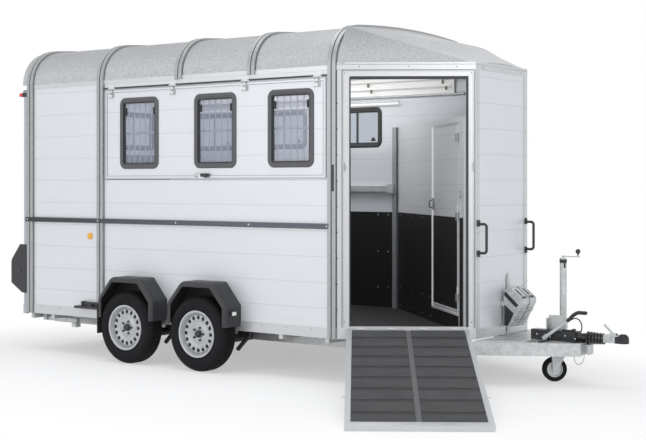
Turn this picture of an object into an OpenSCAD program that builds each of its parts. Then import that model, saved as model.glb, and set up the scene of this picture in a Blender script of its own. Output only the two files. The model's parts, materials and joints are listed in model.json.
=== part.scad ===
// Tandem axle horse trailer with an aluminium plank body, a side ramp and a rear ramp.
// Working frame: x forward with 0 at the front wall, y to the left with 0 at the middle, z up
// with 0 on the ground. place() moves it all so that the origin is the middle of the towing ball.

/* [Body] */
// Width of the box over its walls
body_w = 2150; // [2000:10:2200]
// Length of each straight side wall
side_len = 3700; // [3600:10:3900]
// Length of a front corner along the trailer
corner_x = 909; // [860:1:960]
// Width of a front corner across the trailer
corner_y = 640; // [600:1:680]
// Thickness of the plank walls
wall_t = 30; // [24:1:36]
// Underside of the walls above the ground
sill_z = 359; // [350:1:370]
// Height of the sill profile
sill_h = 86; // [60:1:90]
// Top edge of the walls above the ground
eave_z = 2574; // [2540:2:2620]
// Height of the eave profile
eave_h = 39; // [30:1:40]
// How far the sill and eave profiles stand out of the wall
trim_t = 6; // [4:1:8]
// Height of one wall plank
plank_h = 209; // [190:1:220]
// Width of the groove between two planks
groove_w = 4; // [3:0.5:6]
// Depth of the groove between two planks
groove_d = 2; // [1:0.5:3]
// Thickness of the floor panel
floor_t = 40; // [30:1:41]
// Thickness of the rubber floor mat
mat_t = 8; // [5:1:10]
// Height of the dark rubbing strip
strip_h = 44; // [36:1:52]
// Middle of the rubbing strip above the ground
strip_z = 1268; // [1240:2:1300]
// How far the rubbing strip stands out
strip_t = 14; // [10:1:18]

/* [Roof] */
// Thickness of the roof skin
roof_t = 22; // [16:1:26]
// Radius of the roof's shoulders
roof_r = 335; // [300:5:360]
// Crown of the roof above the wall top
roof_rise = 368; // [350:2:390]
// Overhang of the roof behind the rear portal
roof_back = 58; // [40:1:80]
// Width of a roof bow
bow_w = 80; // [60:2:100]
// How far a roof bow stands out
bow_h = 20; // [14:1:24]
// Height of the front roof moulding at its front edge
hood_front = 38; // [30:1:60]
// Distance from the front wall to the break in the moulding's slope
hood_break = 400; // [340:5:460]
// Height of that break over the wall top
hood_break_z = 232; // [220:2:250]

/* [Openings] */
// Rear edge of the side flap, behind the front wall
flap_x0 = 3577; // [3540:1:3590]
// Front edge of the side flap, behind the front wall
flap_x1 = 1012; // [1010:1:1040]
// Lower edge of the side flap
flap_z0 = 1650; // [1600:5:1700]
// Upper edge of the side flap
flap_z1 = 2487; // [2450:1:2490]
// Gap round the flap and the doors
door_gap = 6; // [5:0.5:8]
// Width of a side window over its frame
win_w = 488; // [460:2:510]
// Height of a side window over its frame
win_h = 652; // [600:2:680]
// Middle of the side windows above the ground
win_z = 2074; // [2070:1:2080]
// Width of a sliding window over its frame
slide_w = 600; // [520:5:640]
// Height of a sliding window over its frame
slide_h = 400; // [340:5:420]
// Middle of the sliding windows above the ground
slide_z = 2170; // [2140:5:2190]
// Corner radius of every window frame
win_r = 66; // [56:1:76]
// Width of a window frame
win_band = 44; // [36:1:50]
// How far a window frame stands out on each side
win_proud = 9; // [6:1:12]
// Thickness of the window glass
glass_t = 5; // [4:0.5:6]
// Left edge of the ramp doorway, along the corner
gate_u0 = 103; // [95:1:115]
// Right edge of the ramp doorway, along the corner
gate_u1 = 1037; // [1025:1:1042]
// Threshold of the ramp doorway
gate_z0 = 461; // [455:1:470]
// Top of the ramp doorway
gate_z1 = 2468; // [2440:1:2480]
// Width of the doorway's raised frame
gate_frame = 56; // [50:1:60]
// Width of a rear corner post
rear_post = 130; // [120:5:150]
// Lower edge of the rear ramp
rear_z0 = 400; // [398:1:410]
// Upper edge of the rear ramp
rear_z1 = 2492; // [2460:2:2494]

/* [Ramps and doors] */
// Thickness of the ramp panels
ramp_t = 40; // [32:1:44]
// Length of the side ramp from its hinge
ramp_len = 2070; // [2040:5:2080]
// Width of the side ramp
ramp_w = 985; // [960:1:1000]
// Width of the ramp's edge profile
ramp_edge = 40; // [34:1:44]
// Pitch of the ramp cleats
cleat_pitch = 232; // [200:2:250]
// Width of a ramp cleat
cleat_w = 62; // [40:2:80]
// Height of a ramp cleat over its mat
cleat_h = 6; // [4:1:7]
// Width of the tack room's outer door
tack_w = 720; // [640:5:760]
// Wall between the tack room's outer door and the wall top
tack_head = 324; // [280:4:380]
// Height of the tack room partition above the ground
screen_z = 2155; // [2100:5:2200]
// Thickness of the tack room partition
screen_t = 26; // [20:1:30]
// Width of the inner tack room door
inner_w = 790; // [740:5:800]

/* [Running gear] */
// Distance between the two axles
axle_gap = 860; // [840:1:900]
// Rear wheel behind the front wall
wheel_back = 3128; // [3110:1:3140]
// Outer diameter of a tyre
tyre_d = 648; // [640:1:654]
// Width of a tyre
tyre_w = 185; // [175:1:195]
// Diameter of a rim over its flange
rim_d = 416; // [410:1:420]
// Gap between a wall and a tyre
tyre_gap = 12; // [8:1:16]
// Holes round a wheel disc
rim_holes = 16; // [12:1:18]
// Diameter of a hole in a wheel disc
rim_hole_d = 26; // [20:1:28]
// Radius of a stub axle
stub_r = 20; // [18:1:24]
// Running clearance of the wheel bearings
run_gap = 0.08; // [0.05:0.01:0.1]
// Half length of a fender
fender_half = 345; // [340:1:350]
// Top of a fender above the ground
fender_z = 772; // [760:1:790]
// Thickness of a fender
fender_t = 6; // [5:0.5:7]
// How far a fender stands out over its tyre
fender_over = 3; // [2:1:8]
// Depth of a fender's outer lip
fender_lip = 44; // [36:1:50]

/* [Drawbar] */
// Half angle of the drawbar's two beams
beam_a = 30; // [29:0.5:31]
// Half distance between the beams at their front ends
beam_y = 78; // [76:1:84]
// Front ends of the beams ahead of the front wall
beam_x = 762; // [740:2:780]
// Width of a beam
beam_w = 50; // [44:1:56]
// Height of a beam
beam_h = 104; // [96:1:106]
// Underside of the beams above the ground
beam_z = 246; // [240:1:250]
// Towing ball ahead of the front wall
ball_x = 1075; // [1060:1:1090]
// Middle of the towing ball above the ground
ball_z = 385; // [375:1:395]
// Radius of the towing ball's socket
ball_r = 25.3; // [25.1:0.1:25.6]
// Diameter of the jockey wheel's mast
mast_d = 56; // [50:1:60]
// Mast ahead of the front wall
mast_x = 490; // [482:1:505]
// Mast to the left of the middle
mast_y = 142; // [136:1:150]
// Top of the mast above the ground
mast_z = 1000; // [940:5:1040]
// Diameter of the jockey wheel
jockey_d = 200; // [190:1:205]
// Width of the jockey wheel
jockey_w = 60; // [50:1:64]
// Trail of the jockey wheel behind its mast
jockey_trail = 72; // [60:1:80]
// Direction in which the jockey wheel trails
jockey_a = 216.7; // [200:0.1:230]

/* [Hidden] */
$fn = 48;
eps = 1;

half_w = body_w / 2;
rear_half = half_w - rear_post;
tyre_out = half_w + tyre_gap + tyre_w;
fender_out = tyre_out + fender_over;
rear_x = -(corner_x + side_len);
corner_len = norm([corner_x, corner_y]);
corner_a = atan2(corner_y, corner_x);
portal_d = 54;
portal_x = rear_x - portal_d;
post_d = 110;
wall_x0 = portal_x + post_d;
beam_top = beam_z + beam_h;
floor_z = sill_z + floor_t + mat_t;

// Places along the trailer and heights that are read from the object
bow_x = [-4600, -3627, -2642, -1804, -955];
bow_full = [true, true, false, false, true];
flap_win_x = [-3133, -2218, -1386];
slide_win_x = [-4100, -3140, -2210];
rear_win_y = 370;
wheel_x = [-wheel_back + axle_gap, -wheel_back];
wheel_z = tyre_d / 2;

// Parts of the plan outline
function corner_in(d) = d * (1 - cos(corner_a)) / sin(corner_a);
function side_in(d) = d * (1 - sin(corner_a)) / cos(corner_a);
function point_a(d) = [-corner_x - corner_in(d), -half_w + d];
function point_b(d) = [-d, -half_w + corner_y + side_in(d)];
function flip(p) = [p[0], -p[1]];
function outline(d, x0) = [[x0, -half_w + d], point_a(d), point_b(d),
    flip(point_b(d)), flip(point_a(d)), [x0, half_w - d]];

module place() { translate([-ball_x, 0, -ball_z]) children(); }
module both_sides() { children(); mirror([0, 1, 0]) children(); }
module slab(x0, x1, y0, y1, z0, z1) {
    translate([x0, y0, z0]) cube([x1 - x0, y1 - y0, z1 - z0]);
}
// Local frame of the right front corner: x along it from its rear edge, y inwards, z up
module on_corner() { translate([-corner_x, -half_w, 0]) rotate([0, 0, corner_a]) children(); }
module along_x(len) { rotate([90, 0, 90]) linear_extrude(len) children(); }
module along_y(len) { translate([0, len, 0]) rotate([90, 0, 0]) linear_extrude(len) children(); }
module rod_x(r, x0, x1) { translate([x0, 0, 0]) rotate([0, 90, 0]) cylinder(r = r, h = x1 - x0); }
module rod_y(r, y0, y1) { translate([0, y1, 0]) rotate([90, 0, 0]) cylinder(r = r, h = y1 - y0); }

// Rounded rectangle about its middle
module pill(w, h, r) {
    square([w - 2 * r, h], center = true);
    square([w, h - 2 * r], center = true);
    for (sx = [-1, 1], sy = [-1, 1])
        translate([sx * (w / 2 - r), sy * (h / 2 - r)]) circle(r);
}
// Window frame, standing proud on both faces of a panel that starts at y = 0
module window_frame(w, h, t) {
    translate([0, -win_proud, 0]) along_y(t + 2 * win_proud) difference() {
        pill(w - 2 * win_band + 36, h - 2 * win_band + 36, win_r - win_band + 18);
        pill(w - 2 * win_band, h - 2 * win_band, win_r - win_band);
    }
    for (y = [-win_proud, t])
        translate([0, y, 0]) along_y(win_proud) difference() {
            pill(w, h, win_r);
            pill(w - 2 * win_band + 36, h - 2 * win_band + 36, win_r - win_band + 18);
        }
}
module window_hole(w, h, t) {
    translate([0, -eps, 0]) along_y(t + 2 * eps)
        pill(w - 2 * win_band + 36, h - 2 * win_band + 36, win_r - win_band + 18);
}
module window_glass(w, h, t) {
    translate([0, (t - glass_t) / 2, 0]) along_y(glass_t)
        pill(w - 2 * win_band, h - 2 * win_band, win_r - win_band);
}
module grooves(x0, x1, y, z0 = sill_z + sill_h, z1 = eave_z - eave_h) {
    for (z = [600 - plank_h : plank_h : z1])
        if (z > z0) slab(x0, x1, y - groove_d, y + groove_d, z - groove_w / 2, z + groove_w / 2);
}
// Wall stretch between two corners of the outline
module wall_block(quad) {
    translate([0, 0, sill_z]) linear_extrude(eave_z - sill_z) polygon(quad);
}

// Frame under the floor
rail_y = half_w - 355;
rail_w = 60;
saddle = 38;
cross_x = [portal_x + 363, wheel_x[1] - 472, wheel_x[0] - 432, wheel_x[0] + 768];
module rails() {
    both_sides() difference() {
        slab(portal_x + 40, -440, rail_y - rail_w / 2, rail_y + rail_w / 2, beam_z, sill_z);
        for (x = wheel_x)
            slab(x + arm_dx - saddle, x + arm_dx + saddle, 0, half_w, beam_z - eps, axle_z + axle_r);
    }
}
module chassis() {
    color("silver") place() {
        rails();
        for (x = concat(cross_x, [-corner_x + 209]))
            slab(x - 20, x + 20, -rail_y + rail_w / 2, rail_y - rail_w / 2, 300, sill_z);
        both_sides() for (x = concat(cross_x, [-corner_x - 111]))
            slab(x - 20, x + 20, rail_y + rail_w / 2, half_w - 12, 318, sill_z);
        slab(portal_x, portal_x + 40, -half_w + 60, half_w - 60, 300, sill_z);
        both_sides() for (y = [stand_y - lug_t - 0.3, stand_y + stand_w + 0.3])
            slab(stand_x - 22, stand_x + 22, y, y + lug_t, stand_z - 22, sill_z);
    }
}
// Front end of the two converging beams with their cover and end plates
module beam() {
    len = (beam_x + 640) / cos(beam_a);
    translate([beam_x, beam_y, beam_z]) rotate([0, 0, 180 - beam_a])
        translate([0, -beam_w / 2, 0]) cube([len, beam_w, beam_h]);
}
module beam_clip() { slab(-439, beam_x, -rail_y - rail_w, rail_y + rail_w, 0, 400); }
module drawbar() {
    color("silver") place() {
        intersection() { both_sides() beam(); beam_clip(); }
        slab(beam_x - 60, beam_x, -beam_y, beam_y, beam_z + 10, beam_top);
        translate([0, 0, beam_top]) linear_extrude(4)
            polygon([[2 + trim_t, -470], [352, -270], [352, 270], [2 + trim_t, 470]]);
    }
}
module floor_panel() {
    color("dimgray") place() translate([0, 0, sill_z]) linear_extrude(floor_t)
        polygon(outline(wall_t, wall_x0));
}
module floor_mat() {
    color("black") place() translate([0, 0, sill_z + floor_t]) linear_extrude(mat_t)
        polygon(outline(wall_t, wall_x0));
}

// Walls
module side_block() {
    wall_block([[wall_x0, -half_w], point_a(0), point_a(wall_t), [wall_x0, -half_w + wall_t]]);
}
module side_wall_right() {
    color("gainsboro") place() difference() {
        side_block();
        grooves(wall_x0 - eps, -corner_x + eps, -half_w);
        slab(-flap_x0, -flap_x1, -half_w - eps, -half_w + wall_t + eps, flap_z0, flap_z1);
    }
    color("gainsboro") place() for (x = flap_hinges)
        translate([x, -half_w - 9, flap_z1 + 2]) {
            rod_x(6, 0.3, 45);
            slab(0.3, 45, 4, 10, 0, 40);
        }
}
module at_left_windows() {
    for (x = slide_win_x) translate([x, half_w - wall_t, slide_z]) children();
}
module side_wall_left() {
    color("gainsboro") place() difference() {
        mirror([0, 1, 0]) side_block();
        grooves(wall_x0 - eps, -corner_x + eps, half_w);
        at_left_windows() window_hole(slide_w, slide_h, wall_t);
    }
}
module left_window_frames() {
    color("black") place() at_left_windows() {
        window_frame(slide_w, slide_h, wall_t);
        translate([0, wall_t / 2 - 12, 0]) along_y(8)
            square([26, slide_h - 2 * win_band + 4], center = true);
    }
}
module left_window_glass() {
    color("lightsteelblue") place() at_left_windows() window_glass(slide_w, slide_h, wall_t);
}
module front_wall() {
    color("gainsboro") place() difference() {
        wall_block([point_b(0), flip(point_b(0)), flip(point_b(wall_t)), point_b(wall_t)]);
        for (z = [600 - plank_h : plank_h : eave_z - eave_h])
            if (z > sill_z + sill_h)
                slab(-groove_d, groove_d, -half_w, half_w, z - groove_w / 2, z + groove_w / 2);
    }
}
module corner_block() { wall_block([point_a(0), point_b(0), point_b(wall_t), point_a(wall_t)]); }
module corner_frame_right() {
    color("gainsboro") place() {
        difference() {
            corner_block();
            on_corner() slab(gate_u0, gate_u1, -eps, wall_t + eps, gate_z0, gate_z1);
        }
        on_corner() difference() {
            slab(gate_u0 - gate_frame, gate_u1 + gate_frame, -8, 0, gate_z0, gate_z1 + gate_frame);
            slab(gate_u0, gate_u1, -9, eps, gate_z0 - eps, gate_z1);
        }
        on_corner() for (u = gate_hinges) translate([u, -ramp_axis, ramp_axis_z])
            rod_x(8, -30, -0.5);
        on_corner() for (u = gate_hinges)
            slab(u - 30, u - 0.5, -ramp_axis, 0, ramp_axis_z - 4, ramp_axis_z + 4);
    }
}
// Places of the tack room's outer door on the left front corner
tack_u0 = 200;
tack_z0 = sill_z + 111;
tack_h = eave_z - tack_head - tack_z0;
tack_hinges = [for (k = [0.12, 0.5, 0.85]) tack_z0 + k * tack_h];
module corner_wall_left() {
    color("gainsboro") place() mirror([0, 1, 0]) difference() {
        corner_block();
        on_corner() {
            slab(tack_u0 - door_gap, tack_u0 + tack_w + door_gap, -eps, wall_t + eps,
                tack_z0 - door_gap, tack_z0 + tack_h + door_gap);
            grooves(-10, corner_len + 10, 0);
        }
    }
    color("gainsboro") place() mirror([0, 1, 0]) on_corner() for (z = tack_hinges)
        translate([tack_u0 + tack_w + 3, -8, z + 60.3]) {
            cylinder(r = 7, h = 50);
            slab(0, 60, 2, 9, 0, 50);
        }
}
module tack_door() {
    color("gainsboro") place() mirror([0, 1, 0]) on_corner() {
        difference() {
            slab(tack_u0, tack_u0 + tack_w, 0, wall_t, tack_z0, tack_z0 + tack_h);
            grooves(tack_u0 - eps, tack_u0 + tack_w + eps, 0);
        }
        for (z = tack_hinges)
            translate([tack_u0 + tack_w + 3, -8, z]) {
                cylinder(r = 7, h = 60);
                slab(-70, 0, 2, 9, 0, 60);
            }
        translate([tack_u0 + 60, 0, tack_z0 + 760]) {
            slab(-20, 20, -8, 0, -60, 60);
            slab(-10, 90, -34, -20, -10, 10);
            slab(-10, 10, -24, -4, -10, 10);
        }
    }
}

// Rear portal with the gable over the ramp
module rear_portal() {
    color("gainsboro") place() {
        both_sides() translate([0, 0, sill_z]) linear_extrude(eave_z - sill_z)
            polygon([[portal_x, half_w], [wall_x0, half_w], [wall_x0, half_w - wall_t],
                [portal_x + 40, half_w - wall_t], [portal_x + 40, rear_half + 10],
                [portal_x, rear_half + 10]]);
        slab(portal_x, portal_x + 40, -rear_half - 10, rear_half + 10, rear_z1 + 8, eave_z);
        slab(portal_x + 2, wall_x0, -rear_half - 10, rear_half + 10, sill_z, rear_axis_z - 14);
        slab(wall_x0 - 46, wall_x0, -rear_half - 10, rear_half + 10, rear_axis_z - 14, floor_z);
        for (y = rear_hinges) translate([rear_axis_x, y, rear_axis_z]) {
            rod_y(8, -39.5, 0.2);
            slab(-4, 10, -39.5, 0.2, -22, 0);
        }
    }
}

// Roof section, grown outwards by d: upright sides, round shoulders and a flat arc on top
shoulder_y = half_w - roof_r;
crown_r = (pow(shoulder_y, 2) + pow(roof_rise - roof_r, 2)) / (2 * (roof_rise - roof_r)) + roof_r;
crown_z = eave_z + roof_rise - crown_r;
crown_a = asin(shoulder_y / (crown_r - roof_r));
arc_n = 12;
crown_n = 8;
function reversed(l) = [for (i = [len(l) - 1 : -1 : 0]) l[i]];
function shoulder_point(a, d = 0) = [shoulder_y + (roof_r + d) * cos(a), eave_z + (roof_r + d) * sin(a)];
function shoulder(d) = [for (i = [0 : arc_n]) shoulder_point((90 - crown_a) * i / arc_n, d)];
function crown_point(a, d = 0) = [(crown_r + d) * sin(a), crown_z + (crown_r + d) * cos(a)];
// Points over the roof from the right wall to the left one, at a height of d over the skin
function roof_path(d) = concat([for (p = shoulder(d)) flip2(p)],
    [for (i = [1 : crown_n - 1]) crown_point(crown_a * (2 * i / crown_n - 1), d)], reversed(shoulder(d)));
function flip2(p) = [-p[0], p[1]];
// Band over the roof between two heights over the skin, with straight sides down to z0
module roof_band(d0, d1, z0) {
    polygon(concat([[-half_w - d1, z0]], roof_path(d1), [[half_w + d1, z0], [half_w + d0, z0]],
        reversed(roof_path(d0)), [[-half_w - d0, z0]]));
}
module roof_shell() {
    color("darkgray") place() {
        translate([portal_x - roof_back, 0, 0]) along_x(bow_x[4] + 5 - portal_x + roof_back)
            polygon(concat(roof_path(0), reversed(roof_path(-roof_t))));
        translate([portal_x, 0, 0]) along_x(roof_t) polygon(roof_path(-roof_t / 2));
    }
}
// One bow: two beads on a flat strip over the roof, with posts down to the sill where it has them
module bow(full) {
    post_z = full ? sill_z : eave_z - eave_h + 4;
    bead_w = bow_w / 2 - 6;
    along_x(bow_w) roof_band(0, bow_h / 2, post_z);
    for (x = [0, bow_w - bead_w]) translate([x, 0, 0]) along_x(bead_w) roof_band(bow_h / 2 - 2, bow_h, post_z);
}
module roof_bows() {
    color("lightgray") place()
        for (i = [0 : len(bow_x) - 1]) translate([bow_x[i] - bow_w / 2, 0, 0]) bow(bow_full[i]);
}

// Front roof moulding, a lofted shell from the last bow to the front wall. Each section runs from
// the foot over the ridge along the corner, down into a valley and up to the middle.
hood_x0 = bow_x[4] + 5;
hood_x1 = bow_x[4] + bow_w / 2 + 2;
hood_blend = 80;
hood_xs = [hood_x0, hood_x1, hood_x1 + 26, hood_x1 + 54, hood_x1 + hood_blend, -690, -550, -hood_break,
    -300, -200, -100, -40, 0];
function hood_side(x) = min(half_w, half_w - (x + corner_x) * corner_y / corner_x);
function hood_mid(x) = x < -hood_break
    ? roof_rise + (hood_break_z - roof_rise) * (x - hood_x0) / (-hood_break - hood_x0)
    : hood_front + (hood_break_z - hood_front) * -x / hood_break;
function hood_ridge(x) = 16 + (roof_r - 16) * min(1, -x / corner_x);
function hood_dip(x) = 34 * sin(180 * (x - hood_x0) / -hood_x0);
roof_half = [for (p = concat([for (k = [0 : 5]) shoulder_point((90 - crown_a) * k / 6)],
    [for (k = [4 : -1 : 0]) crown_point(crown_a * k / 4)])) p - [0, eave_z]];
function hood_half(x) = let (w = hood_side(x), ridge = hood_ridge(x), mid = hood_mid(x),
    dip = hood_dip(x))
    [[w, 0], [w, ridge * 0.34], [w, ridge * 0.67], [w, ridge - min(8, ridge / 4)],
     [w - 14, ridge], [w * 0.92, ridge + 1 - dip * 0.6], [w * 0.85, ridge + 2 - dip * 0.7],
     [w * 0.64, mid * 0.9 + ridge * 0.1 - 16], [w * 0.5, mid - 10], [w * 0.34, mid - 4], [0, mid]];
function hood_mix(x) = let (k = max(0, min(1, (x - hood_x1) / hood_blend)), h = hood_half(x))
    [for (i = [0 : len(h) - 1]) roof_half[i] * (1 - k) + h[i] * k];
// The inner skin lies t inside the outer one and never comes below its foot
function hood_inner(x, t) = let (h = hood_mix(x), w = h[0][0])
    [for (i = [0 : len(h) - 1]) [h[i][0] * (w - t) / w, i == 0 ? 0 : max(2 + 0.4 * i, h[i][1] - t)]];
function hood_ring(half, x) = let (n = len(half))
    concat([for (p = half) [x, -p[0], eave_z + p[1]]],
        [for (i = [n - 2 : -1 : 0]) [x, half[i][0], eave_z + half[i][1]]]);
// Shell between two skins of equal rings: open at the foot and the rear, closed at the front
module shell_loft(outer, inner) {
    n = len(outer[0]);
    m = len(outer);
    k = n * m;
    skin = concat(
        [for (j = [0 : m - 2], i = [0 : n - 2]) [j * n + i, (j + 1) * n + i + 1, (j + 1) * n + i]],
        [for (j = [0 : m - 2], i = [0 : n - 2]) [j * n + i, j * n + i + 1, (j + 1) * n + i + 1]],
        [for (i = [0 : (n - 3) / 2], f = [[i, i + 1, n - 2 - i], [i, n - 2 - i, n - 1 - i]])
            if (f[1] != f[2]) [k - n + f[0], k - n + f[1], k - n + f[2]]]);
    rear = [for (i = [0 : n - 2]) each [[i, k + i, k + i + 1], [i, k + i + 1, i + 1]]];
    right_foot = [for (j = [0 : m - 2]) let (a = j * n, b = a + n)
        each [[a, b, k + b], [a, k + b, k + a]]];
    left_foot = [for (j = [1 : m - 1]) let (a = j * n - 1, b = a + n)
        each [[k + a, k + b, b], [k + a, b, a]]];
    front_foot = [[2 * k - n, k - n, k - 1], [2 * k - n, k - 1, 2 * k - 1]];
    polyhedron(points = [for (r = concat(outer, inner)) each r],
        faces = concat(skin, [for (f = skin) [f[0] + k, f[2] + k, f[1] + k]],
            rear, right_foot, left_foot, front_foot), convexity = 6);
}
module front_hood() {
    color("darkgray") place() shell_loft([for (x = hood_xs) hood_ring(hood_mix(x), x)],
        [for (x = hood_xs) hood_ring(hood_inner(x, roof_t), min(x, x * 0.4 - roof_t))]);
}

module ring_trim(z0, z1, t) {
    translate([0, 0, z0]) linear_extrude(z1 - z0) difference() {
        polygon(outline(-t, wall_x0));
        polygon(outline(0, wall_x0 - 10));
    }
}
module post_cut(full_only) {
    for (i = [0 : len(bow_x) - 1])
        if (bow_full[i] || !full_only)
            slab(bow_x[i] - bow_w / 2, bow_x[i] + bow_w / 2, -2000, 2000, 0, 3000);
}
module eave_and_sill_trims() {
    color("silver") place() {
        difference() {
            ring_trim(eave_z - eave_h, eave_z, trim_t);
            post_cut(false);
        }
        difference() {
            ring_trim(sill_z, sill_z + sill_h, trim_t);
            post_cut(true);
            on_corner() slab(-5, corner_len - 6, -40, 20, 0, 1000);
        }
        both_sides() slab(0, trim_t, half_w - corner_y - 58, half_w - corner_y, sill_z + sill_h,
            eave_z - eave_h);
    }
}
module rubbing_strips() {
    color("darkslategray") place() both_sides() difference() {
        slab(portal_x, -corner_x - 2, half_w, half_w + strip_t, strip_z - strip_h / 2,
            strip_z + strip_h / 2);
        post_cut(true);
    }
}

// Inside
kick_t = 8;
kick_z = 1337;
module kick_boards() {
    color("black") place() {
        for (s = [-1, 1]) {
            y = half_w - wall_t - kick_t;
            x1 = s > 0 ? screen_p[0] - 60 : -corner_x - 30;
            translate([0, s > 0 ? y : -y - kick_t, 0])
                slab(wall_x0, x1, 0, kick_t, floor_z, kick_z);
        }
        on_screen() difference() {
            slab(50, screen_len - 40, -screen_t / 2 - kick_t, -screen_t / 2, floor_z, kick_z);
            slab(inner_s0 - 12, inner_s0 + inner_w + 56, -100, 100, 0, 3000);
        }
    }
}
// Diagonal screen of the tack room, from the left wall to the doorway's front jamb
screen_p = [-1710, half_w - wall_t];
screen_q = [-75, -455];
screen_len = norm(screen_q - screen_p);
screen_a = atan2(screen_q[1] - screen_p[1], screen_q[0] - screen_p[0]);
inner_s0 = 1260;
inner_z0 = 530;
module on_screen() { translate([screen_p[0], screen_p[1], 0]) rotate([0, 0, screen_a]) children(); }
module tack_partition() {
    color("gainsboro") place() intersection() {
        on_screen() difference() {
            slab(26, screen_len + 100, -screen_t / 2, screen_t / 2, floor_z, screen_z);
            slab(inner_s0 - door_gap, inner_s0 + inner_w + door_gap, -50, 50, inner_z0 - door_gap,
                screen_z - 40);
        }
        linear_extrude(4000) polygon(outline(wall_t + 0.5, wall_x0));
    }
    color("gainsboro") place() on_screen() for (z = inner_hinges)
        translate([inner_s0 + inner_w + 3, -screen_t / 2 - 9, z + 70.3]) {
            cylinder(r = 7, h = 60);
            slab(0, 40, 2, 10, 0, 60);
        }
}
module inner_door() {
    color("gainsboro") place() on_screen() {
        slab(inner_s0, inner_s0 + inner_w, -screen_t / 2, screen_t / 2, inner_z0, screen_z - 46);
        difference() {
            slab(inner_s0, inner_s0 + inner_w, -screen_t / 2 - 6, -screen_t / 2 + 1, inner_z0,
                screen_z - 46);
            slab(inner_s0 + 34, inner_s0 + inner_w - 34, -100, 100, inner_z0 + 50, screen_z - 80);
            for (z = inner_hinges) slab(inner_s0 + inner_w - 10, inner_s0 + inner_w + 1,
                -100, -screen_t / 2, z + 70, z + 136);
        }
        for (z = inner_hinges)
            translate([inner_s0 + inner_w + 3, -screen_t / 2 - 9, z]) {
                cylinder(r = 7, h = 70);
                slab(-34, 0, 2, 9, 0, 70);
            }
    }
}
inner_hinges = [640, 1310, 1960];
module breast_rail() {
    color("silver") place() {
        slab(screen_p[0] - 50, screen_p[0] - 6, half_w - wall_t - 44, half_w - wall_t, floor_z, screen_z + 6);
        slab(wall_x0 + 30, screen_p[0] - 50, half_w - wall_t - 66, half_w - wall_t, 1536, 1592);
    }
}
// The ceiling's height at a distance from the middle, along the flats between the section's points
function ceiling_z(y) = lookup(y, [for (i = [0 : crown_n / 2]) crown_point(crown_a * 2 * i / crown_n, -roof_t)]);
module ceiling_rails() {
    color("silver") place() for (y = [-560, 0, 560])
        translate([0, y, ceiling_z(abs(y) + 30) - 0.05])
            slab(portal_x + 163, -corner_x - 141, -30, 30, -18, 0);
}

// Running gear
arm_dx = 165;
axle_r = 35;
axle_z = 272;
drum_y = tyre_out - tyre_w / 2 - 66;
module axles() {
    color("dimgray") place() for (x = wheel_x) {
        translate([x + arm_dx, 0, axle_z]) rod_y(axle_r, -drum_y + 64, drum_y - 64);
        both_sides() {
            for (p = [[arm_dx, axle_z, 48], [0, wheel_z, 31]])
                translate([x + p[0], 0, p[1]]) rod_y(p[2], drum_y - 64, drum_y - 22);
            translate([x, drum_y - 58, wheel_z]) rotate([0, arm_tilt, 0])
                translate([0, 0, -28]) cube([norm([arm_dx, wheel_z - axle_z]), 30, 56]);
            translate([x, 0, wheel_z]) rod_y(118, drum_y - 22, drum_y - 8);
            translate([x, 0, wheel_z]) rod_y(stub_r, drum_y - 8, drum_y + 78);
        }
    }
}
arm_tilt = atan2(wheel_z - axle_z, arm_dx);
// Tyre section about the wheel's axis, y along the axis
tyre_r = tyre_d / 2;
bead_r = rim_d / 2 - 16;
module tyre_section() {
    h = tyre_w / 2;
    difference() {
        union() {
            translate([bead_r, -h + 26]) square([tyre_r - bead_r - 26, tyre_w - 52]);
            polygon([[bead_r, -h + 26], [bead_r + 14, -h + 12], [bead_r + 44, -h + 2],
                [tyre_r - 52, -h], [tyre_r - 20, -h + 8], [tyre_r - 5, -h + 22], [tyre_r, -h + 42],
                [tyre_r, h - 42], [tyre_r - 5, h - 22], [tyre_r - 20, h - 8], [tyre_r - 52, h],
                [bead_r + 44, h - 2], [bead_r + 14, h - 12], [bead_r, h - 26]]);
        }
        for (y = [-36, -12, 12, 36]) translate([tyre_r - 8, y - 4]) square([20, 8]);
    }
}
module tyre() { rotate([-90, 0, 0]) rotate_extrude($fn = 72) tyre_section(); }
module rim() {
    h = tyre_w / 2 - 14;
    r = bead_r;
    rotate([-90, 0, 0]) difference() {
        union() {
            rotate_extrude($fn = 72) polygon([[r - 10, -h], [r, -h], [r, h], [r + 12, h],
                [r + 12, h + 8], [r - 2, h + 8], [r - 10, h - 4], [r - 14, h - 40], [r - 38, h - 44],
                [r - 54, h - 26], [r - 98, h - 26], [r - 112, h - 34], [r - 134, h - 34],
                [r - 134, h - 46], [r - 108, h - 46], [r - 94, h - 38], [r - 60, h - 38],
                [r - 44, h - 58], [r - 22, h - 60], [r - 20, 0]]);
            translate([0, 0, h - 116]) cylinder(r = 62, h = 84);
        }
        for (i = [0 : rim_holes - 1]) rotate([0, 0, i * 360 / rim_holes])
            translate([r - 76, 0, -200]) cylinder(d = rim_hole_d, h = 400);
        translate([0, 0, -200]) cylinder(r = stub_r + run_gap, h = 200 + h - 50);
    }
    for (i = [0 : 4]) rotate([0, i * 72, 0]) translate([56, h - 36, 0]) rod_y(9, 0, 20);
    translate([0, h - 36, 0]) rod_y(30, 0, 34);
}
module at_wheel(i, s) {
    translate([wheel_x[i], 0, wheel_z]) mirror([0, s > 0 ? 0 : 1, 0])
        translate([0, tyre_out - tyre_w / 2, 0]) children();
}
module tyre_at(i, s) { color("dimgray") place() at_wheel(i, s) tyre(); }
module rim_at(i, s) { color("silver") place() at_wheel(i, s) rim(); }
module fender_line(d) {
    a = fender_half - d;
    b = 180 - d * 0.4;
    polygon([[-a, 400], [-a, 578 - d * 0.45], [-b, fender_z - d], [b, fender_z - d],
        [a, 578 - d * 0.45], [a, 400]]);
}
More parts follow.
